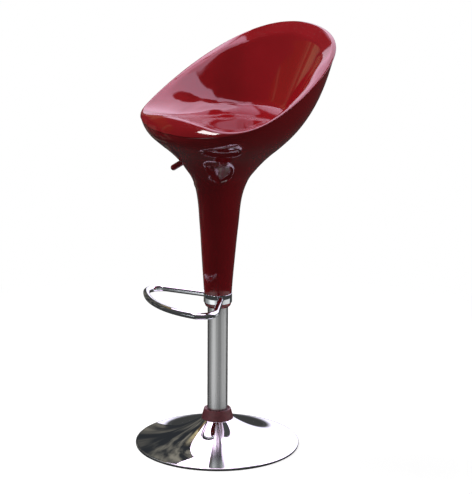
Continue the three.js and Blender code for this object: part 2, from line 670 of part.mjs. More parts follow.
function footrestClamp() {
  const band = ring(CLAMP_BORE, CLAMP_RADIUS, CLAMP_FOOT, CLAMP_TOP, WIDE_SIDES);
  const hole = rod(SET_SCREW_RADIUS + SEAT_GAP, CLAMP_BORE - CUT_OVERRUN, CLAMP_RADIUS + CUT_OVERRUN, TINY_SIDES)
    .rotateY(-Math.PI / 2)
    .translate(0, 0, CLAMP_FOOT + CLAMP_HEIGHT / 2);
  return cut(band, hole);
}

function footrestScrew() {
  return rod(SET_SCREW_RADIUS, CLAMP_BORE, CLAMP_BORE + SET_SCREW_LENGTH, TINY_SIDES)
    .rotateY(-Math.PI / 2)
    .translate(0, 0, CLAMP_FOOT + CLAMP_HEIGHT / 2);
}

// Level arc about a centre, angles measured from forward (+X) towards the side (+Y)
class LevelArc extends THREE.Curve {
  constructor(centre, radius, from, to) {
    super();
    Object.assign(this, { centre, radius, from, to });
  }

  getPoint(t, target = new THREE.Vector3()) {
    const angle = lerp(this.from, this.to, t);
    return target.set(this.centre.x + this.radius * Math.cos(angle),
      this.centre.y + this.radius * Math.sin(angle), 0);
  }
}

// Footrest centreline: leg, corner, bowed front bar, corner, leg
function loopPath() {
  const bowCentre = new THREE.Vector3(LOOP_REACH - LOOP_FRONT_RADIUS, 0, 0);
  const corner = radians(LOOP_CORNER_ANGLE);
  const cornerOffset = LOOP_FRONT_RADIUS - LOOP_CORNER_RADIUS;
  const centre = new THREE.Vector3(Math.cos(corner), Math.sin(corner), 0)
    .multiplyScalar(cornerOffset).add(bowCentre);
  const rootRadius = CLAMP_RADIUS - CLAMP_WALL / 2;
  const root = new THREE.Vector3(Math.cos(radians(LOOP_ROOT_ANGLE)), Math.sin(radians(LOOP_ROOT_ANGLE)), 0)
    .multiplyScalar(rootRadius);
  const toRoot = root.clone().sub(centre);
  const tangentTurn = Math.acos(LOOP_CORNER_RADIUS / toRoot.length());
  const end = THREE.MathUtils.euclideanModulo(Math.atan2(toRoot.y, toRoot.x) - tangentTurn, 2 * Math.PI);
  const left = new LevelArc(centre, LOOP_CORNER_RADIUS, end, corner);
  const bow = new LevelArc(bowCentre, LOOP_FRONT_RADIUS, corner, -corner);
  const mirrored = centre.clone().setY(-centre.y);
  const right = new LevelArc(mirrored, LOOP_CORNER_RADIUS, -corner, -end);
  const path = new THREE.CurvePath();
  path.add(new THREE.LineCurve3(root, left.getPoint(0)));
  path.add(left);
  path.add(bow);
  path.add(right);
  path.add(new THREE.LineCurve3(right.getPoint(1), root.clone().setY(-root.y)));
  return path;
}

function footrestLoop() {
  const section = new THREE.Shape().absarc(0, 0, LOOP_TUBE_RADIUS, 0, 2 * Math.PI);
  const tube = new THREE.ExtrudeGeometry(section, {
    steps: LOOP_STEPS, curveSegments: LOOP_ARC_STEPS, extrudePath: loopPath(),
  }).translate(0, 0, LOOP_HEIGHT);
  const clampRoom = rod(CLAMP_RADIUS + SEAT_GAP, CLAMP_FOOT - CUT_OVERRUN,
    CLAMP_TOP + CUT_OVERRUN, WIDE_SIDES);
  return cut(tube, clampRoom);
}

// Seat shells

// Outlines of the almond-shaped recess and of the finger scoop below it, with Z up
function almondShape() {
  const [left, right] = [ALMOND_SHIFT - ALMOND_WIDTH / 2, ALMOND_SHIFT + ALMOND_WIDTH / 2];
  const [low, high] = [ALMOND_MIDDLE - ALMOND_TILT / 2, ALMOND_MIDDLE + ALMOND_TILT / 2];
  const shape = new THREE.Shape();
  shape.moveTo(left, low);
  shape.quadraticCurveTo(ALMOND_SHIFT, ALMOND_MIDDLE - ALMOND_HEIGHT, right, high);
  shape.quadraticCurveTo(ALMOND_SHIFT, ALMOND_MIDDLE + ALMOND_HEIGHT, left, low);
  return shape;
}

function scoopShape() {
  const side = SCOOP_WIDTH / 2;
  const corner = SCOOP_TOP - SCOOP_CORNER;
  const foot = SCOOP_TOP - SCOOP_HEIGHT;
  const belly = foot + SCOOP_HEIGHT * SCOOP_BELLY_SHARE;
  const tip = SCOOP_WIDTH * SCOOP_TIP_SHARE;
  const shape = new THREE.Shape();
  shape.moveTo(SCOOP_CORNER - side, SCOOP_TOP);
  shape.quadraticCurveTo(-side, SCOOP_TOP, -side, corner);
  shape.quadraticCurveTo(-side, belly, -tip, foot + tip);
  shape.quadraticCurveTo(0, foot, tip, foot + tip);
  shape.quadraticCurveTo(side, belly, side, corner);
  shape.quadraticCurveTo(side, SCOOP_TOP, side - SCOOP_CORNER, SCOOP_TOP);
  return shape;
}

// Solid of an outline pushed out from the column towards an azimuth
function outwardPrism(shape, azimuth, mirrored) {
  const prism = new THREE.ExtrudeGeometry(shape, {
    depth: RIM_FRONT_REACH, bevelEnabled: false, curveSegments: OUTLINE_STEPS,
  });
  prism.rotateX(Math.PI / 2).rotateZ(Math.PI / 2);
  if (mirrored) prism.scale(1, -1, 1);
  return closedGeometry(prism).rotateZ(radians(azimuth));
}

function grown(shape, margin) {
  const points = shape.getPoints(OUTLINE_STEPS);
  const middle = points.reduce((sum, p) => sum.add(p), new THREE.Vector2()).divideScalar(points.length);
  return new THREE.Shape(points.map((p) => {
    const out = p.clone().sub(middle);
    return p.clone().add(out.setLength(margin));
  }));
}

function recess(skirt, rows, shape, azimuth, mirrored) {
  const levelRows = [0, rows.length - 1];
  const floor = loft(offsetRows(rows, -RECESS_DEPTH, levelRows), false);
  const back = loft(offsetRows(rows, -RECESS_DEPTH - SHELL_WALL, levelRows), false);
  const wallMiddle = loft(offsetRows(rows, -SHELL_WALL / 2, levelRows), false);
  const block = cut(overlap(outwardPrism(grown(shape, SHELL_WALL), azimuth, mirrored), wallMiddle), back);
  const hollow = cut(outwardPrism(shape, azimuth, mirrored), floor);
  return cut(join(skirt, block), hollow);
}

function leverSlot() {
  const [halfWidth, halfHeight] = [LEVER_SLOT_WIDTH / 2, LEVER_SLOT_HEIGHT / 2 - LEVER_SLOT_WIDTH / 2];
  const shape = new THREE.Shape();
  shape.absarc(0, LEVER_SLOT_MIDDLE + halfHeight, halfWidth, 0, Math.PI);
  shape.absarc(0, LEVER_SLOT_MIDDLE - halfHeight, halfWidth, Math.PI, 2 * Math.PI);
  return outwardPrism(shape, LEVER_AZIMUTH, false);
}

function seatSkirt() {
  const rows = skirtRows();
  const inner = offsetRows(rows, -SHELL_WALL, [0, rows.length - 1]);
  let skirt = loft([...rows, ...inner.reverse()], true);
  for (const shape of [almondShape(), scoopShape()]) {
    skirt = recess(skirt, rows, shape, RECESS_AZIMUTH, false);
    skirt = recess(skirt, rows, shape, LEVER_AZIMUTH, true);
  }
  return cut(skirt, leverSlot());
}

function screwPlaces() {
  const [x, y] = [SCREW_SPACING_X / 2, SCREW_SPACING_Y / 2];
  return [[-x, -y], [x, -y], [-x, y], [x, y]];
}

function seatDish() {
  const rows = dishRows();
  const under = offsetRows(rows, SHELL_WALL, [rows.length - 1]);
  const shell = loft([...rows, ...under.reverse()], false);
  const bossFoot = MOUNT_PLATE_FOOT + MOUNT_PLATE_THICKNESS + SEAT_GAP;
  const bosses = screwPlaces().map(([x, y]) => rod(BOSS_RADIUS, bossFoot, PAN_HEIGHT - SHELL_WALL / 2, TINY_SIDES)
    .translate(x, y, 0));
  const holes = screwPlaces().map(([x, y]) => rod(SCREW_RADIUS + SEAT_GAP, bossFoot - CUT_OVERRUN,
    bossFoot + SCREW_BITE + SEAT_GAP, TINY_SIDES).translate(x, y, 0));
  return cut(join(shell, ...bosses), ...holes);
}

// Seat mount

function roundedPlate(width, depth, corner) {
  const [x, y] = [width / 2, depth / 2];
  const shape = new THREE.Shape();
  shape.absarc(x - corner, y - corner, corner, 0, Math.PI / 2);
  shape.absarc(corner - x, y - corner, corner, Math.PI / 2, Math.PI);
  shape.absarc(corner - x, corner - y, corner, Math.PI, 1.5 * Math.PI);
  shape.absarc(x - corner, corner - y, corner, 1.5 * Math.PI, 2 * Math.PI);
  return shape;
}

function mountPlate() {
  const shape = roundedPlate(MOUNT_PLATE_WIDTH, MOUNT_PLATE_DEPTH, MOUNT_PLATE_CORNER);
  const holes = screwPlaces().map(([x, y]) => new THREE.Path().absarc(
    x, y, SCREW_RADIUS + SEAT_GAP, 0, 2 * Math.PI));
  shape.holes.push(...holes);
  return new THREE.ExtrudeGeometry(shape, {
    depth: MOUNT_PLATE_THICKNESS, bevelEnabled: false, curveSegments: CORNER_STEPS,
  }).translate(0, 0, MOUNT_PLATE_FOOT);
}

// Screw with its head under the plate
function mountScrew() {
  const headTop = MOUNT_PLATE_FOOT - SEAT_GAP;
  const tip = MOUNT_PLATE_FOOT + MOUNT_PLATE_THICKNESS + SCREW_BITE;
  return revolve([
    [0, headTop - SCREW_HEAD_HEIGHT], [SCREW_HEAD_RADIUS, headTop - SCREW_HEAD_HEIGHT],
    [SCREW_HEAD_RADIUS, headTop], [SCREW_RADIUS, headTop], [SCREW_RADIUS, tip], [0, tip],
  ], TINY_SIDES);
}

// Socket with a window for the lever and a cross hole for its pin. Drawn in the lever's frame.
function mountSocket() {
  const bore = CYLINDER_RADIUS + SEAT_GAP;
  const top = MOUNT_PLATE_FOOT - SEAT_GAP;
  const body = revolve([
    [bore, SOCKET_FOOT], [SOCKET_RADIUS, SOCKET_FOOT], [SOCKET_RADIUS, top],
    [bore - TAPER_DROP, top], [bore - TAPER_DROP, CYLINDER_TOP], [bore, CYLINDER_TOP - TAPER_LENGTH],
  ], SMALL_SIDES);
  const windowFoot = CYLINDER_TOP + LEVER_SIDE_GAP;
  const windowTop = LEVER_PIVOT_HEIGHT + LEVER_EYE_RADIUS + 2 * LEVER_SIDE_GAP;
  const window = new THREE.BoxGeometry(2 * SOCKET_RADIUS, LEVER_STRIP_WIDTH + 2 * LEVER_SIDE_GAP,
    windowTop - windowFoot).translate(SOCKET_RADIUS, 0, (windowTop + windowFoot) / 2);
  const hole = pivotRod(PIVOT_PIN_RADIUS + SEAT_GAP, PIVOT_PIN_LENGTH + 2 * SOCKET_RADIUS);
  return cut(body, window, hole);
}

function pivotRod(radius, length) {
  return rod(radius, -length / 2, length / 2, TINY_SIDES)
    .rotateX(Math.PI / 2)
    .translate(LEVER_PIVOT_REACH, 0, LEVER_PIVOT_HEIGHT);
}

// Lever

// Turns a piece drawn along +X from the origin into the lever's sloping line from its pivot
function onLever(geometry) {
  const drop = Math.atan2(LEVER_PIVOT_HEIGHT - LEVER_TIP_HEIGHT, LEVER_TIP_REACH - LEVER_PIVOT_REACH);
  return geometry.rotateY(drop).translate(LEVER_PIVOT_REACH, 0, LEVER_PIVOT_HEIGHT);
}

function leverLength() {
  return Math.hypot(LEVER_PIVOT_HEIGHT - LEVER_TIP_HEIGHT, LEVER_TIP_REACH - LEVER_PIVOT_REACH);
}

function leverArm() {
  const foot = PIN_TOP + SEAT_GAP - LEVER_PIVOT_HEIGHT;
  const eye = new THREE.Shape();
  eye.moveTo(-LEVER_PIVOT_REACH - LEVER_TONGUE_TAIL, foot);
  eye.lineTo(0, foot);
  eye.absarc(0, 0, LEVER_EYE_RADIUS, -Math.PI / 2, 3 * Math.PI / 4);
  eye.lineTo(-LEVER_EYE_RADIUS, foot + LEVER_TONGUE_THICKNESS);
  eye.lineTo(-LEVER_PIVOT_REACH - LEVER_TONGUE_TAIL, foot + LEVER_TONGUE_THICKNESS);
  const strip = uprightPlate(eye, LEVER_STRIP_WIDTH, CORNER_STEPS)
    .translate(LEVER_PIVOT_REACH, 0, LEVER_PIVOT_HEIGHT);
  const end = leverLength() - 2 * LEVER_GRIP_RADIUS;
  const bar = onLever(rod(LEVER_ROD_RADIUS, LEVER_EYE_RADIUS / 2, end, TINY_SIDES).rotateY(Math.PI / 2));
  return cut(join(strip, bar), pivotRod(PIVOT_PIN_RADIUS + SEAT_GAP, LEVER_STRIP_WIDTH + 2 * CUT_OVERRUN));
}

// Grip sleeve with a round end, closed over the bar's end
function leverGrip() {
  const length = leverLength();
  const bore = LEVER_ROD_RADIUS + SEAT_GAP;
  const boreEnd = length - 2 * LEVER_GRIP_RADIUS + SEAT_GAP;
  const outline = [[bore, length - LEVER_GRIP_LENGTH], [LEVER_GRIP_RADIUS, length - LEVER_GRIP_LENGTH]];
  for (let i = 0; i <= GRIP_END_STEPS; i += 1) {
    const angle = (Math.PI / 2) * (i / GRIP_END_STEPS);
    outline.push([LEVER_GRIP_RADIUS * Math.cos(angle), length - LEVER_GRIP_RADIUS * (1 - Math.sin(angle))]);
  }
  outline[outline.length - 1][0] = 0;
  outline.push([0, boreEnd], [bore, boreEnd]);
  return onLever(revolve(outline, TINY_SIDES).rotateY(Math.PI / 2));
}

// Assembly

function piece(name, geometry, look) {
  const closed = closedGeometry(geometry);
  closed.computeVertexNormals();
  const mesh = new THREE.Mesh(closed, new THREE.MeshStandardMaterial({ name, ...look }));
  mesh.name = name;
  return mesh;
}

const stool = new THREE.Group();
stool.position.y = AXIS_Y;

stool.add(
  piece("base_dome", baseDome(), chrome),
  piece("base_ring", baseRing(), blackRubber),
  piece("base_plate", basePlate(), blackSteel),
  piece("base_hub", baseHub(), blackSteel),
  piece("base_collar", baseCollar(), collarRed),
  piece("column_tube", columnTube(), brushedSteel),
  piece("column_bush", columnBush(), blackNylon),
  piece("bearing_lower_race", bearingRace(LOWER_RACE_FOOT), zincSteel),
  piece("bearing_cage", bearingCage(), zincSteel),
  piece("bearing_upper_race", bearingRace(UPPER_RACE_FOOT), zincSteel),
  piece("piston_rod", pistonRod(), zincSteel),
  piece("rod_clip", rodClip(), blackSteel),
  piece("bump_stop", bumpStop(), blackRubber),
  piece("gas_cylinder", gasCylinder(), blackSteel),
  piece("release_pin", releasePin(), zincSteel),
  piece("neck_bush", neckBush(), darkRed),
  piece("seat_skirt", seatSkirt(), darkRed),
  piece("seat_dish", seatDish(), darkRed),
  piece("mount_plate", mountPlate(), blackSteel),
);

screwPlaces().forEach(([x, y], i) => {
  const screw = piece(`mount_screw_${i + 1}`, mountScrew(), zincSteel);
  screw.position.set(x, y, 0);
  stool.add(screw);
});

// The ring's frame: +X is the loop's forward direction
const footrest = new THREE.Group();
footrest.rotation.z = radians(FOOTREST_TURN - 90);
footrest.add(
  piece("footrest_clamp", footrestClamp(), chrome),
  piece("footrest_loop", footrestLoop(), chrome),
  piece("footrest_screw", footrestScrew(), zincSteel),
);

// The lever's frame: +X points out along the lever
const lever = new THREE.Group();
lever.rotation.z = radians(LEVER_AZIMUTH);
lever.add(
  piece("mount_socket", mountSocket(), blackSteel),
  piece("lever_pin", pivotRod(PIVOT_PIN_RADIUS, PIVOT_PIN_LENGTH), zincSteel),
  piece("lever_arm", leverArm(), zincSteel),
  piece("lever_grip", leverGrip(), darkRed),
);

stool.add(footrest, lever);

export default stool;
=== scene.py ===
"""Bar stool: the looks, on the frame of the solid model.

The scene is in metres, with +Z up and the sitter facing -Y. Sizes of the stool are written in
millimetres from the column's axis, and the makers of meshes turn them into metres. A turn is 0
at the front and goes over the sitter's left. A facing is an angle from +X, the sitter's left, so
that -90 degrees is the front.
"""
import json
import math

import bmesh
import bpy
import numpy as np
from mathutils import Matrix, Vector


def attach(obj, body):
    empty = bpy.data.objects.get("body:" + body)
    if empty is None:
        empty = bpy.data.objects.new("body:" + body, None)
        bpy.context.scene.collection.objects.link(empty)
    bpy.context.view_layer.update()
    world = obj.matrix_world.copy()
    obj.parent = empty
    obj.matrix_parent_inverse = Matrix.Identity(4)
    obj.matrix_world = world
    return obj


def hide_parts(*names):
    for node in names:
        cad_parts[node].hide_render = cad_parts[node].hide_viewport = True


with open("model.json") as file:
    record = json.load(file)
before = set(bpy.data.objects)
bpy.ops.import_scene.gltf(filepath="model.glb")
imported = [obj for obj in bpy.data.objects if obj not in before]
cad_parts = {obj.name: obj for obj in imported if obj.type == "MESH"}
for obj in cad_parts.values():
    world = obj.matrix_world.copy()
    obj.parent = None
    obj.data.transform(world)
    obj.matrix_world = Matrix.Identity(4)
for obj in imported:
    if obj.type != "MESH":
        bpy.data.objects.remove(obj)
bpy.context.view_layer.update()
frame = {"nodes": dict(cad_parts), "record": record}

MM = 0.001
AXIS_Y = -37.0            # mm, the column's axis in the row frame


# Camera

IMAGE_HEIGHT = 494         # px
FOCAL_PX = 1911.43572
SENSOR_HEIGHT = 36         # mm
CAMERA_DISTANCE = 4552.23  # mm from the column's axis
CAMERA_HEIGHT = 1661.49
CAMERA_SIDE = math.radians(51)  # round from the front towards the sitter's left
CAMERA_DOWN = 0.24812      # radians, as the next two
CAMERA_ROLL = 0.00661
CAMERA_PAN = 0.00968


def set_camera():
    """Camera fitted to the photograph: placed, then panned, tilted and rolled."""
    side = Vector((math.cos(CAMERA_SIDE), math.sin(CAMERA_SIDE), 0))
    away = Vector((-math.sin(CAMERA_SIDE), math.cos(CAMERA_SIDE), 0))
    pan_s, pan_c = math.sin(CAMERA_PAN), math.cos(CAMERA_PAN)
    down_s, down_c = math.sin(CAMERA_DOWN), math.cos(CAMERA_DOWN)
    ahead = side * (pan_s * down_c) + away * (pan_c * down_c) + Vector((0, 0, -down_s))
    right = side * pan_c - away * pan_s
    down = ahead.cross(right)
    roll_s, roll_c = math.sin(CAMERA_ROLL), math.cos(CAMERA_ROLL)
    x_axis = right * roll_c - down * roll_s
    y_axis = -(right * roll_s + down * roll_c)
    z_axis = -ahead
    data = bpy.data.cameras.new("camera")
    data.sensor_fit = "VERTICAL"
    data.sensor_height = SENSOR_HEIGHT
    data.lens = FOCAL_PX * SENSOR_HEIGHT / IMAGE_HEIGHT
    data.clip_end = 100
    camera = bpy.data.objects.new("camera", data)
    bpy.context.collection.objects.link(camera)
    place = -away * CAMERA_DISTANCE + Vector((0, AXIS_Y, CAMERA_HEIGHT))
    turn = Matrix((x_axis, y_axis, z_axis)).transposed().to_4x4()
    camera.matrix_world = Matrix.Translation(place * MM) @ turn
    bpy.context.scene.camera = camera


set_camera()


# Materials

def linear(r, g, b):
    """A colour written as 0 to 255 screen values, as the shader wants it."""
    def one(v):
        v /= 255
        return v / 12.92 if v <= 0.04045 else ((v + 0.055) / 1.055) ** 2.4
    return (one(r), one(g), one(b), 1)


class Nodes:
    """A node tree that is filled one node at a time."""

    def __init__(self, holder):
        holder.use_nodes = True
        self.tree = holder.node_tree

    def add(self, kind, inputs=None, **settings):
        """New node; an input is either a value or another node's output."""
        node = self.tree.nodes.new(kind)
        for key, value in settings.items():
            setattr(node, key, value)
        for key, value in (inputs or {}).items():
            self.feed(node.inputs[key], value)
        return node

    def feed(self, socket, value):
        """Links another node's output to an input, or sets the input's value."""
        if isinstance(value, bpy.types.NodeSocket):
            self.tree.links.new(value, socket)
        else:
            socket.default_value = value


class Finish(Nodes):
    """A surface material, built on the shader that a new material has."""

    def __init__(self, name):
        self.material = bpy.data.materials.new(name)
        super().__init__(self.material)
        self.shader = self.tree.nodes["Principled BSDF"]
        self.place = self.add("ShaderNodeTexCoord").outputs["Object"]

    def link(self, output, socket):
        self.feed(self.shader.inputs[socket], output)

    def set(self, **values):
        """Values that are the same all over, set on the shader's own sockets."""
        for key, value in values.items():
            self.feed(self.shader.inputs[key.replace("_", " ")], value)

    def stretched(self, x, y, z):
        mapping = self.add("ShaderNodeMapping", {"Vector": self.place, "Scale": (x, y, z)})
        return mapping.outputs["Vector"]

    def noise(self, scale, detail, roughness=0.5, vector=None):
        return self.add("ShaderNodeTexNoise", {
            "Vector": vector or self.place, "Scale": scale, "Detail": detail,
            "Roughness": roughness,
        }).outputs["Fac"]

    def between(self, factor, low, high):
        """The middle of a noise's range, spread from low to high."""
        return self.add("ShaderNodeMapRange", {
            "Value": factor, "From Min": 0.35, "From Max": 0.65, "To Min": low, "To Max": high,
        }).outputs["Result"]

    def tones(self, factor, first, second):
        """Colour that drifts between two tones."""
        ramp = self.add("ShaderNodeValToRGB", {"Fac": factor})
        for stop, position, colour in zip(ramp.color_ramp.elements, (0.3, 0.7), (first, second)):
            stop.position = position
            stop.color = colour
        return ramp.outputs["Color"]

    def relief(self, height, distance):
        """Bump of a height of up to the distance, in metres."""
        bump = self.add("ShaderNodeBump", {
            "Height": height, "Distance": distance, "Strength": 1.0,
        })
        self.link(bump.outputs["Normal"], "Normal")


def seat_red():
    """High-gloss moulded plastic: a faint flow in the colour and the slightest orange peel."""
    f = Finish("seat_red")
    f.link(f.tones(f.noise(scale=9, detail=2), linear(142, 17, 25), linear(152, 20, 29)), "Base Color")
    f.link(f.between(f.noise(scale=35, detail=4), low=0.05, high=0.1), "Roughness")
    f.set(IOR=1.5, Coat_Weight=0.25, Coat_Roughness=0.03)
    f.relief(f.noise(scale=160, detail=1), distance=0.00002)
    return f.material


def collar_red():
    """Satin moulded plastic with a little dust and scuffing."""
    f = Finish("collar_red")
    f.link(f.tones(f.noise(scale=120, detail=5), linear(88, 30, 38), linear(112, 44, 52)), "Base Color")
    f.link(f.between(f.noise(scale=260, detail=4), low=0.32, high=0.5), "Roughness")
    f.relief(f.noise(scale=900, detail=2), distance=0.00006)
    return f.material


def chrome():
    """Mirror plating over polished steel, with faint wiping marks."""
    f = Finish("chrome")
    tones = f.tones(f.noise(scale=14, detail=3), linear(224, 229, 233), linear(234, 238, 240))
    f.link(tones, "Base Color")
    f.link(f.between(f.noise(scale=55, detail=5), low=0.015, high=0.05), "Roughness")
    f.set(Metallic=1)
    f.relief(f.noise(scale=25, detail=2), distance=0.00003)
    return f.material


def brushed_steel():
    """Stainless tube brushed along its length, with fine scratches that smear what it mirrors."""
    f = Finish("brushed_steel")
    scratches = f.noise(scale=1, detail=4, roughness=0.7, vector=f.stretched(2600, 2600, 9))
    broad = f.noise(scale=1, detail=2, vector=f.stretched(240, 240, 3))
    f.link(f.tones(broad, linear(172, 173, 174), linear(190, 191, 191)), "Base Color")
    f.link(f.between(scratches, low=0.2, high=0.34), "Roughness")
    f.set(Metallic=1)
    f.relief(scratches, distance=0.000012)
    return f.material


def zinc_steel():
    """Bright zinc plating with a patchy passivated tone."""
    f = Finish("zinc_steel")
    tones = f.tones(f.noise(scale=180, detail=4), linear(150, 155, 160), linear(172, 174, 170))
    f.link(tones, "Base Color")
    f.link(f.between(f.noise(scale=300, detail=3), low=0.3, high=0.45), "Roughness")
    f.set(Metallic=1)
    return f.material


def black_steel():
    """Black powder coat with its fine texture."""
    f = Finish("black_steel")
    f.link(f.tones(f.noise(scale=60, detail=3), linear(26, 27, 29), linear(34, 35, 37)), "Base Color")
    f.link(f.between(f.noise(scale=700, detail=3), low=0.42, high=0.58), "Roughness")
    f.relief(f.noise(scale=1400, detail=2), distance=0.00008)
    return f.material


def black_rubber():
    """Moulded rubber, matt, with a trace of dust."""
    f = Finish("black_rubber")
    f.link(f.tones(f.noise(scale=90, detail=5), linear(19, 19, 19), linear(34, 33, 32)), "Base Color")
    f.link(f.between(f.noise(scale=400, detail=3), low=0.72, high=0.9), "Roughness")
    f.relief(f.noise(scale=1100, detail=3), distance=0.0001)
    return f.material


def black_nylon():
    """Injection-moulded nylon with a dull sheen."""
    f = Finish("black_nylon")
    f.link(f.tones(f.noise(scale=50, detail=2), linear(32, 32, 32), linear(40, 40, 41)), "Base Color")
    f.link(f.between(f.noise(scale=500, detail=3), low=0.45, high=0.6), "Roughness")
    f.relief(f.noise(scale=900, detail=2), distance=0.00005)
    return f.material


FINISHES = {make.__name__: make() for make in (
    seat_red, collar_red, chrome, brushed_steel,
    zinc_steel, black_steel, black_rubber, black_nylon,
)}


def dress_solids():
    """Gives each solid of the frame the finish of its own material slot."""
    for part in frame["record"]["subparts"]:
        solid = frame["nodes"][part["node"]]
        solid.data.materials.clear()
        solid.data.materials.append(FINISHES[part["material_slot"]])


dress_solids()


# Making pieces

SAME_POINT = 1e-7          # m, points nearer than this are merged


def plain_mesh(name, points, faces):
    """A mesh from points in mm about the column's axis."""
    points = np.asarray(points, float) + (0, AXIS_Y, 0)
    mesh = bpy.data.meshes.new(name)
    mesh.from_pydata((points * MM).tolist(), [], faces)
    mesh.validate()
    return mesh


def outward(mesh):
    """Merges doubles and turns every face outwards."""
    bm = bmesh.new()
    bm.from_mesh(mesh)
    bmesh.ops.remove_doubles(bm, verts=bm.verts, dist=SAME_POINT)
    bmesh.ops.recalc_face_normals(bm, faces=bm.faces)
    if bm.calc_volume(signed=True) < 0:
        bmesh.ops.reverse_faces(bm, faces=bm.faces)
    bm.to_mesh(mesh)
    bm.free()


def new_piece(name, points, faces, finish, body, *nodes, sharp=30):
    finish_piece(name, plain_mesh(name, points, faces), finish, body, nodes, sharp)


def finish_piece(name, mesh, finish, body, nodes, sharp):
    """A visible piece that rides on a body and stands in for nodes; sharp is in degrees."""
    outward(mesh)
    mesh.shade_smooth()
    mesh.set_sharp_from_angle(angle=math.radians(sharp))
    mesh.materials.clear()
    mesh.materials.append(FINISHES[finish])
    piece = bpy.data.objects.new(name, mesh)
    bpy.context.collection.objects.link(piece)
    if nodes:
        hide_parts(*nodes)
    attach(piece, body)


def modified_mesh(thing):
    """The mesh that an object's modifiers make."""
    return bpy.data.meshes.new_from_object(
        thing.evaluated_get(bpy.context.evaluated_depsgraph_get()))


def rings_to_faces(rings, around, closed):
    """Quads between rings of equal count; closed joins the last ring to the first."""
    faces = []
    for i in range(rings if closed else rings - 1):
        a, b = i * around, ((i + 1) % rings) * around
        for j in range(around):
            k = (j + 1) % around
            faces.append((a + j, a + k, b + k, b + j))
    return faces


def smooth_value(table, x):
    """Smooth curve through (x, value) rows, for one number or an array."""
    xs, ys = np.array(table, float).T
    slopes = np.gradient(ys, xs)
    x = np.clip(x, xs[0], xs[-1])
    i = np.clip(np.searchsorted(xs, x, side="right") - 1, 0, len(xs) - 2)
    span = xs[i + 1] - xs[i]
    s = (x - xs[i]) / span
    return hermite(ys[i], ys[i + 1], slopes[i] * span, slopes[i + 1] * span, s)


def hermite(start, end, start_slope, end_slope, s):
    """Cubic from start (s = 0) to end (s = 1) with the slopes given."""
    s2, s3 = s * s, s * s * s
    return ((2 * s3 - 3 * s2 + 1) * start + (s3 - 2 * s2 + s) * start_slope
            + (3 * s2 - 2 * s3) * end + (s3 - s2) * end_slope)


# Seat

# Heights: the neck's lower end, where funnel and wall meet, where the section starts to leave
# the circle, and where the egg shape is complete
NECK_FOOT = 392.8
SHOULDER = 775.0
ROUND_UP_TO = 640.0
RIM_LEVEL = 834.0
# Egg shape: added corner power, share wider to the sides, share shorter to front and back
EGG_POWER, EGG_WIDER, EGG_SHORTER = 0.25, 0.104, 0.128
# Height, mean radius of neck and funnel
FUNNEL = [
    (392.8, 35.4), (415, 36.8), (456, 39.9), (497, 43.1), (537, 46.2), (577, 49.8), (617.6, 53.4),
    (637.6, 56.5), (657.6, 61.5), (671, 66.2), (686, 73.6), (701, 84.5), (716, 96.3), (731, 109.7),
    (746, 125.4), (760.6, 142.8), (775, 158.9),
]
# Height, how far the section's middle lies behind the column
SET_BACK = [
    (392.8, 0), (440, 0.3), (577, 3), (640, 4.2), (671, 5.8), (700, 6.6), (731, 7.5), (760, 4.8),
    (775, 2.2),
]


def signed_power(value, power):
    """Sine or cosine for a rounded square; power 2 gives a circle."""
    return np.sign(value) * np.abs(value) ** (2 / power)


def funnel(turn, height):
    """Outer face of neck and funnel."""
    blend = np.clip((height - ROUND_UP_TO) / (RIM_LEVEL - ROUND_UP_TO), 0, 1)
    radius = smooth_value(FUNNEL, height)
    power = 2 + EGG_POWER * blend
    aside = radius * (1 + EGG_WIDER * blend) * signed_power(np.sin(turn), power)
    ahead = radius * (1 - EGG_SHORTER * blend) * signed_power(np.cos(turn), power)
    back = smooth_value(SET_BACK, height) - ahead
    return np.stack([aside, back, np.broadcast_to(height, aside.shape)], -1)


# Waves round the turn that make the seat's rim: how often each goes round, its size
CREST_SIDEWAYS = [(1, 240.53), (2, 3.81), (3, 6.83)]
CREST_BACKWARDS = [(0, 60.39), (1, -224.03), (2, 2.18), (3, 7.47)]
CREST_HEIGHT = [(0, 918.81), (1, -109.8), (2, 19.83), (3, 10.41), (4, 2.8)]
# How far the wall leans out at the crest for each mm of height: at the front, at the back
LEAN_FRONT, LEAN_BACK = 0.04, 0.3
SLOPE_STEP = 3.0           # over which the funnel's slope at the shoulder is taken


def crest(turn):
    """The seat's rim, which rises from the front lip to the back."""
    x = sum(size * np.sin(times * turn) for times, size in CREST_SIDEWAYS)
    y = sum(size * np.cos(times * turn) for times, size in CREST_BACKWARDS)
    z = sum(size * np.cos(times * turn) for times, size in CREST_HEIGHT)
    return np.stack([x, y, z], -1)


def upper_wall(turn, share):
    """Outer face from the shoulder (share 0) to the crest (share 1)."""
    start = funnel(turn, SHOULDER)
    slope = (start - funnel(turn, SHOULDER - SLOPE_STEP)) / SLOPE_STEP
    top = crest(turn)
    rise = top[..., 2] - SHOULDER
    lean = LEAN_FRONT + (LEAN_BACK - LEAN_FRONT) * (1 - np.cos(turn)) / 2
    reach = np.linalg.norm(top[..., :2], axis=-1)
    out = np.empty(np.broadcast(top[..., 0], share).shape + (3,))
    for i in (0, 1):
        end_slope = top[..., i] / reach * lean * rise
        out[..., i] = hermite(start[..., i], top[..., i], slope[..., i] * rise, end_slope, share)
    out[..., 2] = SHOULDER + rise * share
    return out


# Degrees from the front, drop of the parting line below the crest
PARTING_DROP = [
    (0, 33), (8, 31.5), (16, 28), (25, 20.5), (33, 13.5), (42, 8.5), (50, 6.4), (60, 5.5),
    (75, 5), (180, 5),
]
SEAM = 0.5                 # gap between the two shells
SHELL = 3.5                # thickness of both


def degrees_from_front(turn):
    return np.abs((np.degrees(turn) + 180) % 360 - 180)


def parting_height(turn):
    return crest(turn)[..., 2] - smooth_value(PARTING_DROP, degrees_from_front(turn))


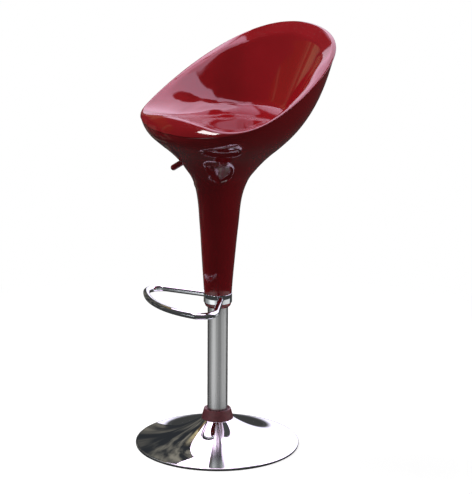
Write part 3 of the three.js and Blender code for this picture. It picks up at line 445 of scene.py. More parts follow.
# Outlines of the recesses on the sitter's left, seen square on: sideways, height
RECESS_FACING = math.radians(-37)
ALMOND = [
    (-44.5, 769.5), (-40, 773.5), (-32, 777.6), (-20, 781.8), (-8, 785), (6, 788.2), (16, 790),
    (26, 790.6), (36, 789), (43, 785.8), (48, 781), (49.5, 777.5), (48.5, 772.5), (44, 767.5),
    (36, 763.6), (24, 761.4), (12, 760.6), (0, 760.4), (-12, 761), (-24, 762.8), (-36, 765.6),
]
SCOOP = [
    (-34, 720), (-33, 725.5), (-28, 730), (-20, 732.2), (-8, 732), (8, 730.6), (20, 731),
    (27.5, 729), (31.5, 723), (32, 714), (30.5, 704), (26.5, 696), (19, 688), (10, 680.5),
    (3, 676.3), (-1.5, 678.5), (-8, 686.5), (-16, 696.5), (-24, 705.5), (-30, 712.5),
]
RECESS_DEPTH = 8.0
RECESS_ROLL = 10.0         # width over which the edge rolls in
ROLL_OUTSIDE = 0.6         # how far outside the outline the roll starts
ROLL_POWER = 2.2           # how much steeper the roll is at its start than at its end
# Points that count as near a recess: sideways at most, heights between
RECESS_ASIDE, RECESS_LOW, RECESS_HIGH = 60, 660, 800
# Degrees from the front between which the skirt has close steps for the recesses
RECESS_START, RECESS_END = 22, 76


def smooth_outline(points, steps=6):
    """Closed Catmull-Rom curve through the points."""
    p = np.array(points, float)
    out = []
    for i in range(len(p)):
        a, b, c, d = p[i - 1], p[i], p[(i + 1) % len(p)], p[(i + 2) % len(p)]
        for s in np.arange(steps) / steps:
            out.append(0.5 * (2 * b + (c - a) * s + (2 * a - 5 * b + 4 * c - d) * s ** 2
                              + (3 * b - a - 3 * c + d) * s ** 3))
    return np.array(out)


def depth_inside(outline, u, v):
    """Distance of each point from the outline's edge, negative outside it."""
    best = np.full(u.shape, np.inf)
    inside = np.zeros(u.shape, bool)
    for (ax, ay), (bx, by) in zip(outline, np.roll(outline, -1, axis=0)):
        dx, dy = bx - ax, by - ay
        s = np.clip(((u - ax) * dx + (v - ay) * dy) / (dx * dx + dy * dy), 0, 1)
        best = np.minimum(best, np.hypot(u - ax - s * dx, v - ay - s * dy))
        if ay != by:
            crosses = (ay > v) != (by > v)
            inside ^= crosses & (u < ax + (v - ay) * dx / (by - ay))
    return np.where(inside, best, -best)


def recess_depth(points):
    """How deep the outer face is sunk at each of its points.

    A point that isn't near a recess counts as lying on its outline, so the start of the roll, 1 mm,
    is taken off everywhere. Only the low front of the funnel, near both sides' recesses, keeps it.
    """
    c, s = math.cos(RECESS_FACING), math.sin(RECESS_FACING)
    depth = np.zeros(points.shape[:-1])
    for side in (1, -1):
        x, y, z = points[..., 0] * side, points[..., 1], points[..., 2]
        sideways = c * y - s * x
        near = (c * x + s * y > 0) & (np.abs(sideways) < RECESS_ASIDE)
        near &= (z > RECESS_LOW) & (z < RECESS_HIGH)
        for outline in (ALMOND, SCOOP):
            inside = np.zeros(depth.shape)
            inside[near] = depth_inside(smooth_outline(outline), sideways[near], z[near])
            share = np.clip((inside + ROLL_OUTSIDE) / RECESS_ROLL, 0, 1)
            depth = np.maximum(depth, RECESS_DEPTH * (1 - (1 - share) ** ROLL_POWER))
    return depth


def surface_normals(grid):
    """Outward normals of a grid of rings that run up a wall."""
    around = np.roll(grid, -1, axis=1) - np.roll(grid, 1, axis=1)
    up = np.gradient(grid, axis=0)
    normal = np.cross(around, up)
    return normal / np.linalg.norm(normal, axis=-1, keepdims=True)


def skirt_turns():
    """Turns in rising order, with close steps across the two recesses."""
    left = np.radians(np.arange(RECESS_START, RECESS_END, 0.45))
    back = np.radians(np.linspace(RECESS_END, 360 - RECESS_END, 96))
    right = np.sort(2 * math.pi - left)[1:]
    front = 2 * math.pi + np.radians(np.linspace(-RECESS_START, RECESS_START, 26)[1:-1])
    return np.sort(np.concatenate([left, back, right, front]) % (2 * math.pi))


# How far the skirt's last three rows are drawn in, for a rounded upper edge
EDGE_DRAWN_IN = [0, 0.169, 0.4]
INNER_STEP = 4             # the inner face has every fourth row of the outer one


def seat_skirt():
    """Closed shell from neck foot to parting line, with its recesses and the lever's slot."""
    turns = skirt_turns()
    neck = np.linspace(NECK_FOOT, ROUND_UP_TO, 30)
    flare = np.linspace(646, 672, 6)
    recessed = np.arange(674, SHOULDER, 1.15)
    rows = [funnel(turns, height) for height in (*neck, *flare, *recessed)]
    top_share = (parting_height(turns) - SEAM - SHOULDER) / (crest(turns)[:, 2] - SHOULDER)
    shares = (*np.linspace(0, 0.45, 26)[1:], *np.linspace(0.45, 0.97, 22)[1:], 0.985, 1)
    rows += [upper_wall(turns, top_share * share) for share in shares]
    outer = np.array(rows)
    normals = surface_normals(outer)
    sunk = outer - normals * recess_depth(outer)[..., None]
    sunk[-3:] -= normals[-3:] * np.array(EDGE_DRAWN_IN)[:, None, None]
    picks = [*range(len(outer) - 1, 0, -INNER_STEP), 0]
    inner = sunk[picks] - normals[picks] * SHELL
    inner[0, :, 2] = outer[-1, :, 2]
    inner[-1, :, 2] = outer[0, :, 2]
    grid = np.concatenate([sunk, inner])
    faces = rings_to_faces(len(grid), len(turns), True)
    mesh = cut_lever_slot(plain_mesh("skirt_shell", grid.reshape(-1, 3), faces))
    finish_piece("skirt_shell", mesh, "seat_red", "seat", ["seat_skirt"], 30)


LEVER_FACING = math.radians(-143)
SLOT_WIDTH, SLOT_HEIGHT, SLOT_LEVEL = 17.4, 37.0, 719.5
SLOT_SIDES = 40
CUTTER_REACH = (60, 140)   # from the column's axis, well inside and outside the skirt


def cut_lever_slot(mesh):
    """Cuts the round-ended upright slot that the lever comes out of."""
    turns = np.linspace(0, 2 * math.pi, SLOT_SIDES, endpoint=False)
    half = SLOT_WIDTH / 2
    side = half * np.cos(turns)
    upper = np.where(np.sin(turns) > -1e-9, 1, -1)
    level = SLOT_LEVEL + half * np.sin(turns) + upper * (SLOT_HEIGHT / 2 - half)
    c, s = math.cos(LEVER_FACING), math.sin(LEVER_FACING)
    points = [(r * c - u * s, r * s + u * c, z) for r in CUTTER_REACH for u, z in zip(side, level)]
    faces = rings_to_faces(2, SLOT_SIDES, False)
    faces.append(tuple(range(SLOT_SIDES))[::-1])
    faces.append(tuple(range(SLOT_SIDES, 2 * SLOT_SIDES)))
    cutter = bpy.data.objects.new("slot_cutter", plain_mesh("slot_cutter", points, faces))
    shell = bpy.data.objects.new("slot_shell", mesh)
    for piece in (cutter, shell):
        outward(piece.data)
        bpy.context.collection.objects.link(piece)
    modifier = shell.modifiers.new("slot", "BOOLEAN")
    modifier.operation = "DIFFERENCE"
    modifier.solver = "EXACT"
    modifier.object = cutter
    cut = modified_mesh(shell)
    bpy.data.objects.remove(shell)
    bpy.data.objects.remove(cutter)
    return cut


PAN_HEIGHT = 818.0
PAN_CENTRE = np.array([0, 40.0])  # sideways, backwards
# Degrees from the front, width of the crest's round on the face
CREST_ROUND = [(0, 5), (60, 5), (110, 10), (180, 12)]
LIP_BULGE = 0.06           # of the lip's height
LIP_RISE = 0.15            # how much the crest rises for each mm it lies back
# Degrees from the front, how far the crest lies back from the wall
LIP_SET_BACK = [(0, 20), (12, 19), (24, 15), (36, 8), (46, 3), (56, 0.5), (66, 0), (180, 0)]
# Share of the way from pan centre to crest, share of the rise
FRONT_PROFILE = [
    (0, 0), (0.2, 0.002), (0.4, 0.015), (0.5, 0.045), (0.56, 0.09), (0.61, 0.18),
    (0.67, 0.36), (0.74, 0.52), (0.8, 0.615), (0.86, 0.71), (0.92, 0.81), (0.96, 0.89), (1, 1),
]
FLANK_PROFILE = [
    (0, 0), (0.2, 0), (0.36, 0.006), (0.41, 0.022), (0.46, 0.055), (0.52, 0.105), (0.58, 0.18),
    (0.64, 0.245), (0.68, 0.3), (0.72, 0.375), (0.78, 0.52), (0.84, 0.68), (0.89, 0.815),
    (0.92, 0.9), (0.94, 0.945), (0.96, 0.972), (1, 1),
]
CORNER_PROFILE = [
    (0, 0), (0.2, 0), (0.36, 0.003), (0.41, 0.014), (0.46, 0.042), (0.5, 0.07), (0.55, 0.115),
    (0.6, 0.158), (0.63, 0.22), (0.7, 0.41), (0.78, 0.64), (0.86, 0.855), (0.89, 0.925),
    (0.91, 0.957), (0.94, 0.98), (1, 1),
]
BACK_PROFILE = [
    (0, 0), (0.2, 0), (0.36, 0.002), (0.41, 0.009), (0.46, 0.026), (0.5, 0.044), (0.55, 0.07),
    (0.59, 0.092), (0.61, 0.125), (0.64, 0.2), (0.7, 0.36), (0.78, 0.57), (0.86, 0.775),
    (0.88, 0.83), (0.9, 0.875), (0.92, 0.902), (0.94, 0.927), (0.96, 0.952), (0.98, 0.977),
    (1, 1),
]
# Degrees from the front at which each profile holds; the first one holds up to there
DISH_PROFILES = [
    (60, FRONT_PROFILE), (92, FLANK_PROFILE), (114, CORNER_PROFILE), (140, BACK_PROFILE),
]


def dish_rise(turn, share):
    """Share of the rise, blended from one profile to the next round the dish."""
    degrees = degrees_from_front(turn)
    before, profile = DISH_PROFILES[0]
    rise = smooth_value(profile, share)
    for at, profile in DISH_PROFILES[1:]:
        s = np.clip((degrees - before) / (at - before), 0, 1)
        s = s * s * (3 - 2 * s)
        rise = rise * (1 - s) + smooth_value(profile, share) * s
        before = at
    return rise


def lip_crest(turn):
    """Crest of the dish: at the front it lies back from the wall, so that the lip slopes up to it."""
    set_back = smooth_value(LIP_SET_BACK, degrees_from_front(turn))
    edge = crest(turn)
    arm = PAN_CENTRE - edge[..., :2]
    inward = arm / np.linalg.norm(arm, axis=-1, keepdims=True)
    plan = edge[..., :2] + inward * set_back[..., None]
    height = edge[..., 2] + LIP_RISE * set_back
    return np.concatenate([plan, height[..., None]], -1)


def dish_face(turn, share):
    """Top face of the dish between pan centre and crest."""
    rim = lip_crest(turn)
    arm = rim[..., :2] - PAN_CENTRE
    length = np.linalg.norm(arm, axis=-1)
    width = smooth_value(CREST_ROUND, degrees_from_front(turn))
    plan = PAN_CENTRE + arm * ((1 - width / length) * share)[..., None]
    height = PAN_HEIGHT + (rim[..., 2] - PAN_HEIGHT) * dish_rise(turn, share)
    return np.concatenate([plan, height[..., None]], -1)


DISH_SIDES = 288
BAND_ROUND = 4.5           # width of the crest's round on the band
BAND_ROUND_SHARE = 0.8     # the most of the band that it takes up


def quadratic(start, middle, end, s):
    """Rounded corner from start to end, drawn towards the middle."""
    return start * (1 - s) ** 2 + middle * 2 * s * (1 - s) + end * s * s


def seat_dish():
    """Closed shell: face, round of the crest, band down to the parting line, and underside."""
    turns = np.linspace(0, 2 * math.pi, DISH_SIDES, endpoint=False)
    wall_share = (parting_height(turns) - SHOULDER) / (crest(turns)[:, 2] - SHOULDER)
    foot = upper_wall(turns, wall_share)
    corner = lip_crest(turns)
    fall = corner - foot
    depth = np.linalg.norm(fall, axis=-1, keepdims=True)
    bulge = np.cross(fall, np.roll(foot, -1, axis=0) - np.roll(foot, 1, axis=0))
    bulge *= -LIP_BULGE * depth / np.linalg.norm(bulge, axis=-1, keepdims=True)

    def band(share):
        return corner - fall * share + bulge * 4 * share * (1 - share)

    pan_shares, wall_shares = np.linspace(0.04, 0.36, 9), np.linspace(0.38, 1, 63)
    rows = [dish_face(turns, share) for share in (*pan_shares, *wall_shares)]
    face_rows = len(rows)
    inside = rows[-1]
    begin = np.minimum(BAND_ROUND / depth, BAND_ROUND_SHARE)
    outside = band(begin)
    rows += [quadratic(inside, corner, outside, s) for s in np.linspace(0, 1, 10)[1:]]
    round_end = len(rows) - 1
    rows += [band(begin + (1 - begin) * s) for s in np.linspace(0, 1, 12)[1:]]
    top = np.array(rows)
    # The underside has fewer rows: two of the band, one of the round, every fifth of the wall
    picks = [len(top) - 1, round_end + 4, round_end, *range(face_rows - 1, 9, -5), 8, 4, 0]
    under = top[picks] + surface_normals(top)[picks] * SHELL
    under[0, :, 2] = top[-1, :, 2]
    grid = np.concatenate([top, under])
    faces = rings_to_faces(len(grid), DISH_SIDES, False)
    points = list(grid.reshape(-1, 3))
    for ring in (0, len(grid) - 1):
        middle, first = len(points), ring * DISH_SIDES
        points.append(grid[ring].mean(axis=0))
        faces += [(first + j, first + (j + 1) % DISH_SIDES, middle) for j in range(DISH_SIDES)]
    new_piece("seat_shell", points, faces, "seat_red", "seat", "seat_dish", sharp=40)


# Swept and turned parts

def sweep_tree(name, line_name, radius_name, line_is_path):
    """Geometry nodes: a circle swept along the object's line, or that line round a circle."""
    tree = bpy.data.node_groups.new(name, "GeometryNodeTree")
    sockets = tree.interface
    sockets.new_socket(line_name, in_out="INPUT", socket_type="NodeSocketGeometry")
    sockets.new_socket(radius_name, in_out="INPUT", socket_type="NodeSocketFloat")
    sockets.new_socket("Sides", in_out="INPUT", socket_type="NodeSocketInt")
    sockets.new_socket("Finish", in_out="INPUT", socket_type="NodeSocketMaterial")
    sockets.new_socket("Body", in_out="OUTPUT", socket_type="NodeSocketGeometry")
    add, join = tree.nodes.new, tree.links.new
    given, out = add("NodeGroupInput"), add("NodeGroupOutput")
    line = add("GeometryNodeMeshToCurve")
    ring = add("GeometryNodeCurvePrimitiveCircle")
    sweep = add("GeometryNodeCurveToMesh")
    sweep.inputs["Fill Caps"].default_value = line_is_path
    real = add("GeometryNodeRealizeInstances")
    paint = add("GeometryNodeSetMaterial")
    path, profile = (line, ring) if line_is_path else (ring, line)
    join(given.outputs[line_name], line.inputs["Mesh"])
    join(given.outputs[radius_name], ring.inputs["Radius"])
    join(given.outputs["Sides"], ring.inputs["Resolution"])
    join(path.outputs["Curve"], sweep.inputs["Curve"])
    join(profile.outputs["Curve"], sweep.inputs["Profile Curve"])
    join(sweep.outputs["Mesh"], real.inputs["Geometry"])
    join(real.outputs["Geometry"], paint.inputs["Geometry"])
    join(given.outputs["Finish"], paint.inputs["Material"])
    join(paint.outputs["Geometry"], out.inputs["Body"])
    return tree


TUBE = sweep_tree("bent_tube", "Line", "Tube radius", True)
LATHE = sweep_tree("lathe", "Outline", "Wheel radius", False)
WHEEL_RADIUS = 100.0       # of the circle that outlines are swept round; any size will do


def swept(tree, name, points, closed, values):
    """Runs a sweep tree on a line of points in mm and returns the plain mesh."""
    line = bpy.data.meshes.new(name + "_line")
    edges = [(i, i + 1) for i in range(len(points) - 1)]
    if closed:
        edges.append((len(points) - 1, 0))
    line.from_pydata((np.array(points, float) * MM).tolist(), edges, [])
    carrier = bpy.data.objects.new(name + "_line", line)
    bpy.context.collection.objects.link(carrier)
    modifier = carrier.modifiers.new("sweep", "NODES")
    modifier.node_group = tree
    for item in tree.interface.items_tree:
        if item.in_out == "INPUT" and item.name in values:
            modifier[item.identifier] = values[item.name]
    mesh = modified_mesh(carrier)
    bpy.data.objects.remove(carrier)
    mesh.transform(Matrix.Translation((0, AXIS_Y * MM, 0)))
    return mesh


def turned(name, outline, finish, body, *nodes, sides=160, sharp=30):
    """Body of revolution about the column from a closed outline of (radius, height)."""
    points = [(radius - WHEEL_RADIUS, -height, 0) for radius, height in outline]
    values = {"Wheel radius": WHEEL_RADIUS * MM, "Sides": sides, "Finish": FINISHES[finish]}
    mesh = swept(LATHE, name, points, True, values)
    finish_piece(name, mesh, finish, body, nodes, sharp)


def rounded(corners, steps=5):
    """Closed outline from corners of (radius, height, how far the corner is cut back; 0 is sharp)."""
    p = np.array([corner[:2] for corner in corners], float)
    out = []
    for i, (_, _, cut) in enumerate(corners):
        before, here, after = p[i - 1], p[i], p[(i + 1) % len(p)]
        a, b = before - here, after - here
        to_before, to_after = np.linalg.norm(a), np.linalg.norm(b)
        cut = min(cut, to_before / 2, to_after / 2)
        start, end = here + a / to_before * cut, here + b / to_after * cut
        shares = np.linspace(0, 1, steps) if cut else [0]
        out += [tuple(quadratic(start, here, end, s)) for s in shares]
    return out


DOME_EDGE, DOME_MOUTH = 203.5, 40.3      # radii between which the trumpet rises
DOME_LEVEL, DOME_RISE = 7.2, 60.0        # height at the edge, rise to the mouth
DOME_STRAIGHT, DOME_POWER = 0.4, 2.4     # share of the rise that is straight, power of the rest
DOME_WALL = 1.6


def dome_height(radius):
    """Trumpet: nearly flat at the edge, steep at the collar."""
    share = (DOME_EDGE - radius) / (DOME_EDGE - DOME_MOUTH)
    curved = (1 - DOME_STRAIGHT) * share ** DOME_POWER
    return DOME_LEVEL + DOME_RISE * (DOME_STRAIGHT * share + curved)


def base_dome():
    """Thin shell: outer edge, skin up to the mouth, and back down along its inner face."""
    radii = (*np.linspace(203.2, 60, 60), *np.linspace(59, DOME_MOUTH, 16))
    edge = [(205, 3.4), (205, 5.2), (204.7, 6.1), (204.1, 6.8)]
    skin = [(r, dome_height(r)) for r in radii]
    mouth = [(29, 67.2), (29, 65.6)]
    under = [(r, dome_height(r) - DOME_WALL) for r in radii[::-4]]
    foot = [(203.4, 5.4), (203.4, 3.4)]
    outline = edge + skin + mouth + under + foot
    turned("trumpet_dome", outline, "chrome", "base", "base_dome", sides=288, sharp=50)


def base_ring():
    outline = rounded([(195.4, 0, 0.5), (204.4, 0, 1.2), (204.4, 3, 0.6), (195.4, 3, 0.3)])
    turned("rubber_ring", outline, "black_rubber", "base", "base_ring", sides=200)


def base_collar():
    outline = rounded([
        (40.3, 67.5, 1.0), (33.5, 92.5, 1.2), (30.5, 92.5, 1.0), (27.5, 89.5, 0.4),
        (25.8, 89.5, 0.3), (25.8, 86, 0), (30.5, 86, 0), (37.3, 67.5, 0),
    ])
    turned("foot_collar", outline, "collar_red", "base", "base_collar", sharp=40)


def column_tube():
    outline = rounded([
        (5.3, 13.9, 0), (25.4, 13.9, 0.6), (25.4, 424, 0.4),
        (23.9, 424, 0.4), (23.9, 17.9, 0), (5.3, 17.9, 0),
    ])
    turned("column", outline, "brushed_steel", "base", "column_tube", sides=144)


def neck_bush():
    outline = rounded([
        (25.8, 357.3, 0.4), (27.5, 357.3, 1.4), (31.9, 361.2, 4.0), (33.7, 369, 0.6),
        (32.9, 369, 0), (32.9, 392.3, 0), (31.6, 392.3, 0), (31.6, 424.3, 0.5), (25.8, 424.3, 0.3),
    ])
    turned("neck_bush_lip", outline, "seat_red", "seat", "neck_bush", sharp=40)


# Footrest

FOOTREST_FACING = math.radians(-99.5)
FOOTREST_LEVEL = 382.3
BAR_RADIUS = 8.2
BAR_SIDES = 40
FRONT_RADIUS = 252.0       # of the bowed front bar
FRONT_TURN = math.radians(28.7)  # half of the bow
FRONT_REACH = 166.6        # from the column's axis to the bow's middle
CORNER_RADIUS = 36.0
ROOT_REACH = 34.2          # from the axis to where the legs end
ROOT_TURN = math.radians(72.5)   # from the footrest's facing to there
CUT_RADIUS = 35.5          # the bar's ends are drawn out to this, the ring's face


def in_footrest(forward, sideways, height):
    """Point of the footrest's own plan, turned as the ring is fixed on the neck."""
    c, s = math.cos(FOOTREST_FACING), math.sin(FOOTREST_FACING)
    return (forward * c - sideways * s, forward * s + sideways * c, height)


def footrest_path():
    """Centreline of the loop: leg, corner, bowed front bar, corner, leg."""
    def arc(x, y, radius, start, end, count):
        return [(x + radius * math.cos(a), y + radius * math.sin(a))
                for a in np.linspace(start, end, count)]

    bow = FRONT_REACH - FRONT_RADIUS
    corner_x = bow + (FRONT_RADIUS - CORNER_RADIUS) * math.cos(FRONT_TURN)
    corner_y = (FRONT_RADIUS - CORNER_RADIUS) * math.sin(FRONT_TURN)
    root_x, root_y = ROOT_REACH * math.cos(ROOT_TURN), ROOT_REACH * math.sin(ROOT_TURN)
    # The corner's arc ends where the straight leg to the root touches it
    across, along = root_x - corner_x, root_y - corner_y
    end = math.atan2(along, across) - math.acos(CORNER_RADIUS / math.hypot(across, along))
    end %= 2 * math.pi
    half = arc(bow, 0, FRONT_RADIUS, 0, FRONT_TURN, 30)
    half += arc(corner_x, corner_y, CORNER_RADIUS, FRONT_TURN, end, 40)[1:]
    x, y = half[-1]
    half += [(x + (root_x - x) * s, y + (root_y - y) * s) for s in np.linspace(0, 1, 16)[1:]]
    whole = [(x, -y) for x, y in half[:0:-1]] + half
    return [in_footrest(x, y, FOOTREST_LEVEL) for x, y in whole]


def footrest():
    """The swept bar and the ring that clamps it on the neck."""
    values = {"Tube radius": BAR_RADIUS * MM, "Sides": BAR_SIDES, "Finish": FINISHES["chrome"]}
    mesh = swept(TUBE, "footrest_bar", footrest_path(), False, values)
    axis = Vector((0, AXIS_Y * MM))
    for vertex in mesh.vertices:
        reach = vertex.co.xy - axis
        if reach.length < CUT_RADIUS * MM:
            vertex.co.xy = axis + reach.normalized() * CUT_RADIUS * MM
    finish_piece("footrest_bar", mesh, "chrome", "seat", ["footrest_loop"], 40)
    outline = rounded([
        (33.2, 369.3, 0.3), (35.2, 369.3, 0.9), (35.2, 392.3, 0.9), (33.2, 392.3, 0.3),
    ])
    turned("footrest_ring", outline, "chrome", "seat", "footrest_clamp")


# Lever

# Distance from the column's axis, height: the lever's pivot and the grip's tip
LEVER_PIVOT, LEVER_TIP = (17, 764.5), (119, 697.2)
GRIP_LENGTH = 62
GRIP_RADIUS, GRIP_MOUTH, GRIP_BORE = 7.3, 6.2, 4.3
GRIP_CHAMFER = 0.6
GRIP_END = 17              # thickness behind the round end
TIP_RADIUS = 0.02          # close to nothing, as each row of points has to be a ring
GRIP_SIDES = 48


def lever_grip():
    """Sleeve with a round end, along the lever's sloping line."""
    pivot, tip = np.array(LEVER_PIVOT), np.array(LEVER_TIP)
    length = np.linalg.norm(tip - pivot)
    along = (tip - pivot) / length
    across = np.array([-along[1], along[0]])
    start = length - GRIP_LENGTH
    outline = [(GRIP_BORE, start), (GRIP_MOUTH, start), (GRIP_RADIUS, start + GRIP_CHAMFER)]
    outline += [(GRIP_RADIUS * math.cos(a), length - GRIP_RADIUS * (1 - math.sin(a)))
                for a in np.linspace(0, math.pi / 2, 12)[:-1]]
    outline += [(TIP_RADIUS, length), (TIP_RADIUS, length - GRIP_END)]
    outline.append((GRIP_BORE, length - GRIP_END))
    c, s = math.cos(LEVER_FACING), math.sin(LEVER_FACING)
    points = []
    for radius, reach in outline:
        for a in np.linspace(0, 2 * math.pi, GRIP_SIDES, endpoint=False):
            out, height = pivot + along * reach + across * radius * math.cos(a)
            side = radius * math.sin(a)
            points.append((out * c - side * s, out * s + side * c, height))
    faces = rings_to_faces(len(outline), GRIP_SIDES, True)
    new_piece("lever_handle", points, faces, "seat_red", "lever", "lever_grip")


seat_skirt()
seat_dish()
base_dome()
base_ring()
base_collar()
column_tube()
neck_bush()
footrest()
lever_grip()


# Floor, backdrop and light

def toward(azimuth, elevation):
    """Direction in degrees: azimuth 0 is the sitter's front and 90 the sitter's left."""
    a, e = math.radians(azimuth), math.radians(elevation)
    return Vector((math.sin(a) * math.cos(e), -math.cos(a) * math.cos(e), math.sin(e)))


UP = Vector((0, 0, 1))
COLUMN_AXIS = Vector((0, AXIS_Y * MM, 0))


def grey(value):
    return (value, value, value)


class Glow(Nodes):
    """What a floor, card or sky shows, built from soft masks, colours and shaders."""

    def __init__(self, holder, output, source):
        super().__init__(holder)
        self.tree.nodes.clear()
        self.out = self.add(output)
        self.source = source
        self.path = self.add("ShaderNodeLightPath").outputs

    def coordinates(self, kind):
        return self.add("ShaderNodeTexCoord").outputs[kind]

    def soft(self, value, start, end):
        """Mask that goes from 0 at start to 1 at end."""
        return self.add("ShaderNodeMapRange", {"Value": value, "From Min": start, "From Max": end},
                        interpolation_type="SMOOTHSTEP").outputs["Result"]

    def times(self, a, b):
        return self.add("ShaderNodeMath", {0: a, 1: b}, operation="MULTIPLY").outputs[0]

    def vector(self, operation, inputs, output):
        node = self.add("ShaderNodeVectorMath", inputs, operation=operation)
        return node.outputs[output]

    def along(self, vector, direction):
        """How far a vector reaches in a direction."""
        return self.vector("DOT_PRODUCT", {0: vector, 1: tuple(direction)}, "Value")

    def noise(self, vector, scale, detail):
        node = self.add("ShaderNodeTexNoise", {"Vector": vector, "Scale": scale, "Detail": detail})
        return node.outputs["Fac"]

    def blend(self, factor, a, b):
        """Colour from a (factor 0) to b (factor 1)."""
        node = self.add("ShaderNodeMix", {"Factor": factor}, data_type="RGBA")
        sockets = [socket for socket in node.inputs if socket.type == "RGBA"]
        for socket, value in zip(sockets, (a, b)):
            self.feed(socket, (*value, 1) if isinstance(value, tuple) else value)
        return [socket for socket in node.outputs if socket.type == "RGBA"][0]

    def shine(self, colour, strength=1.0):
        """Shader that glows in a colour."""
        if isinstance(colour, tuple):
            colour = (*colour, 1)
        return self.add(self.source, {"Color": colour, "Strength": strength}).outputs[0]

    def clear(self):
        return self.add("ShaderNodeBsdfTransparent").outputs[0]

    def mix(self, factor, a, b):
        """Shader from a (factor 0) to b (factor 1)."""
        return self.add("ShaderNodeMixShader", {0: factor, 1: a, 2: b}).outputs[0]

    def show(self, shader):
        self.feed(self.out.inputs["Surface"], shader)


def stage_piece(name, points, faces):
    """Piece of the studio, from points in metres."""
    mesh = bpy.data.meshes.new(name)
    mesh.from_pydata([tuple(point) for point in points], [], faces)
    piece = bpy.data.objects.new(name, mesh)
    bpy.context.collection.objects.link(piece)
    material = bpy.data.materials.new(name)
    mesh.materials.append(material)
    return piece, Glow(material, "ShaderNodeOutputMaterial", "ShaderNodeEmission")


def mirrored_piece(name, points, faces):
    """Piece of the studio that only glossy pieces see."""
    piece, glow = stage_piece(name, points, faces)
    piece.visible_camera = False
    piece.visible_diffuse = False
    piece.visible_shadow = False
    return glow


ONE_FACE = [(0, 1, 2, 3)]
FLOOR_EDGE = 9.0           # m from the origin, as the next two
FADE_START, FADE_END = 0.6, 1.6


def floor():
    """White paper that takes a soft shadow near the stool; glossy pieces see it dark."""
    edge = FLOOR_EDGE
    corners = [(-edge, -edge, 0), (edge, -edge, 0), (edge, edge, 0), (-edge, edge, 0)]
    _, g = stage_piece("floor", corners, ONE_FACE)
    place = g.coordinates("Object")
    # Near the stool the paper glows a little itself, and further off it is plain white
    tone = g.blend(g.path["Is Camera Ray"], grey(0.14), grey(0.5))
    paper = g.add("ShaderNodeBsdfDiffuse", {"Color": tone}).outputs[0]
    near = g.add("ShaderNodeAddShader", {0: paper, 1: g.shine(grey(0.74))}).outputs[0]
    reach = g.vector("LENGTH", {0: place}, "Value")
    shown = g.mix(g.soft(reach, FADE_START, FADE_END), near, g.shine(grey(1.0)))
    seen = g.mix(g.path["Is Camera Ray"], paper, shown)
    # What glossy pieces see of the floor has a light patch, 3 m and more off in front
    ahead, aside = g.along(place, toward(-4, 0)), g.along(place, toward(86, 0))
    across = g.times(g.soft(aside, -1.3, -0.9), g.soft(aside, 0.9, 0.5))
    patch = g.times(g.soft(ahead, 2.6, 3.4), across)
    mirrored = g.shine(g.blend(patch, grey(0.05), (2.4, 2.5, 2.6)))
    above = g.mix(g.path["Is Glossy Ray"], seen, mirrored)
    # From below it lets the view through, so that the underside can be looked at
    backside = g.add("ShaderNodeNewGeometry").outputs["Backfacing"]
    g.show(g.mix(backside, above, g.clear()))


def left_card():
    """Glowing panel at the left that only glossy pieces see: a dark, mottled glow with warm streaks at
    the top of its front end, painted reflections for the seat and the dome.
    """
    distance, foot, top = 1.25, 0.02, 1.4
    back, front = toward(-116, 0) * distance, toward(-46, 0) * distance
    corners = [back + UP * foot, front + UP * foot, front + UP * top, back + UP * top]
    g = mirrored_piece("left_card", corners, ONE_FACE)
    place = g.coordinates("Object")
    height = g.add("ShaderNodeSeparateXYZ", {0: place}).outputs["Z"]
    upright = g.add("ShaderNodeMapping", {"Vector": place, "Scale": (7, 7, 0.3)}).outputs[0]
    # Painted reflections: the streaks and the mottle are glow, which the seat and the dome mirror
    streaks = g.soft(g.noise(upright, scale=1, detail=2), 0.42, 0.58)
    warm = g.blend(streaks, (0.16, 0.1, 0.05), (0.62, 0.5, 0.28))
    mottle = g.soft(g.noise(place, scale=5, detail=4), 0.45, 0.75)
    low = g.blend(mottle, (0.03, 0.032, 0.036), (0.3, 0.27, 0.22))
    front_end = g.soft(g.along(place, toward(-46, 0)), 0.6, 0.8)
    high = g.times(g.soft(height, 1.05, 1.2), front_end)
    g.show(g.shine(g.blend(high, low, warm)))


def lip_light():
    """Small bright panel in front: the glint on the lip."""
    lip, distance = Vector((0.125, -0.17, 0.825)), 0.35
    half_width, half_height = 0.088, 0.042
    middle = lip + toward(-23, 40) * distance
    across, up = toward(67, 0) * half_width, toward(-23, 130) * half_height
    low, high = middle - up, middle + up
    g = mirrored_piece("lip_light", [low - across, low + across, high + across, high - across],
                       ONE_FACE)
    g.show(g.shine(grey(1.0), strength=16.0))


SCREEN_RADIUS = 0.222      # m, as its two levels
SCREEN_LOW, SCREEN_HIGH = 0.012, 0.328
SCREEN_START, SCREEN_END = -60, 158      # degrees
SCREEN_POINTS = 60
SCREEN_TONE = 0.62
# Azimuth, reach towards it at which the stripe's edge starts and ends, tone
STRIPES = [
    (8, 0.198, 0.218, 1.1), (70, 0.2, 0.219, 0.42), (140, 0.16, 0.214, 0.8),
    (-60, 0.16, 0.214, 0.3),
]


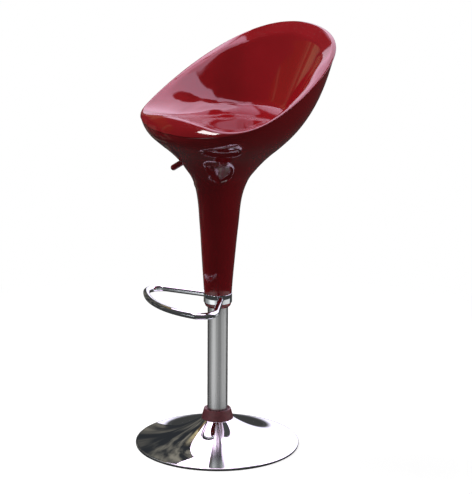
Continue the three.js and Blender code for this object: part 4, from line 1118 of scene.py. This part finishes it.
def column_screen():
    """Curved low screen round the column, with light and dark stripes.

    It shines straight out like a lamp behind a honeycomb, so the seat high above doesn't catch it.
    """
    points = [toward(azimuth, 0) * SCREEN_RADIUS + COLUMN_AXIS + UP * height
              for height in (SCREEN_LOW, SCREEN_HIGH)
              for azimuth in np.linspace(SCREEN_START, SCREEN_END, SCREEN_POINTS)]
    faces = [(i, i + 1, i + SCREEN_POINTS + 1, i + SCREEN_POINTS) for i in range(SCREEN_POINTS - 1)]
    g = mirrored_piece("column_screen", points, faces)
    around = g.vector("SUBTRACT", {0: g.coordinates("Object"), 1: tuple(COLUMN_AXIS)}, 0)
    tone = grey(SCREEN_TONE)
    for azimuth, start, end, shade in STRIPES:
        stripe = g.soft(g.along(around, toward(azimuth, 0)), start, end)
        tone = g.blend(stripe, tone, grey(shade))
    comb = g.soft(g.add("ShaderNodeLayerWeight").outputs["Facing"], 0.25, 0.45)
    g.show(g.mix(comb, g.shine(tone), g.clear()))


# Azimuth, elevation, cosine where the edge starts and where it ends, colour: five soft boxes
# overhead and a dark gap between them
SOFT_BOXES = [
    (-60, 78, 0.930, 0.946, (3.5, 2.5, 3.4)),
    (66, 74, 0.962, 0.972, (3.3, 2.4, 3.2)),
    (12, 68, 0.974, 0.984, (2.5, 1.8, 2.4)),
    (-20, 58, 0.983, 0.990, (2.5, 1.8, 2.4)),
    (-94, 45, 0.970, 0.980, (3.2, 2.5, 3.3)),
    (168, 72, 0.968, 0.978, grey(0.07)),
]


def sky():
    """White to the camera, plain grey as light; glossy pieces see it bright behind, dark in front."""
    world = bpy.data.worlds.new("studio")
    bpy.context.scene.world = world
    g = Glow(world, "ShaderNodeOutputWorld", "ShaderNodeBackground")
    look = g.coordinates("Generated")
    rise = g.along(look, UP)
    behind = g.times(g.soft(g.along(look, toward(-160, 20)), 0.47, 0.53), g.soft(rise, 0.03, 0.1))
    wall = g.blend(g.soft(rise, 0.3, 0.65), (1.35, 1.26, 1.5), (3.0, 2.4, 3.1))
    tone = g.blend(behind, grey(0.07), wall)
    for azimuth, elevation, start, end, shade in SOFT_BOXES:
        box = g.soft(g.along(look, toward(azimuth, elevation)), start, end)
        tone = g.blend(box, tone, shade)
    plain = g.shine(g.blend(g.soft(rise, -0.1, 0.9), grey(0.12), grey(0.3)))
    seen = g.mix(g.path["Is Glossy Ray"], plain, g.shine(tone))
    g.show(g.mix(g.path["Is Camera Ray"], seen, g.shine(grey(1.0))))


LAMP_AIM = Vector((0, AXIS_Y, 700))  # mm, in the seat's funnel


def lamp(name, azimuth, elevation, distance, side, power):
    """Soft square lamp that looks at the seat; distance and side are in metres."""
    data = bpy.data.lights.new(name, "AREA")
    data.shape = "SQUARE"
    data.size = side
    data.energy = power
    light = bpy.data.objects.new(name, data)
    bpy.context.collection.objects.link(light)
    away = toward(azimuth, elevation)
    light.location = LAMP_AIM * MM + away * distance
    light.rotation_euler = away.to_track_quat("Z", "Y").to_euler()
    light.visible_glossy = False


floor()
left_card()
lip_light()
column_screen()
sky()
lamp("overhead", azimuth=-148, elevation=66, distance=2.8, side=2.0, power=16)
lamp("front", azimuth=-62, elevation=58, distance=3.0, side=1.8, power=68)
lamp("side", azimuth=128, elevation=4, distance=2.6, side=1.4, power=9)

bpy.context.scene.view_settings.view_transform = "Standard"
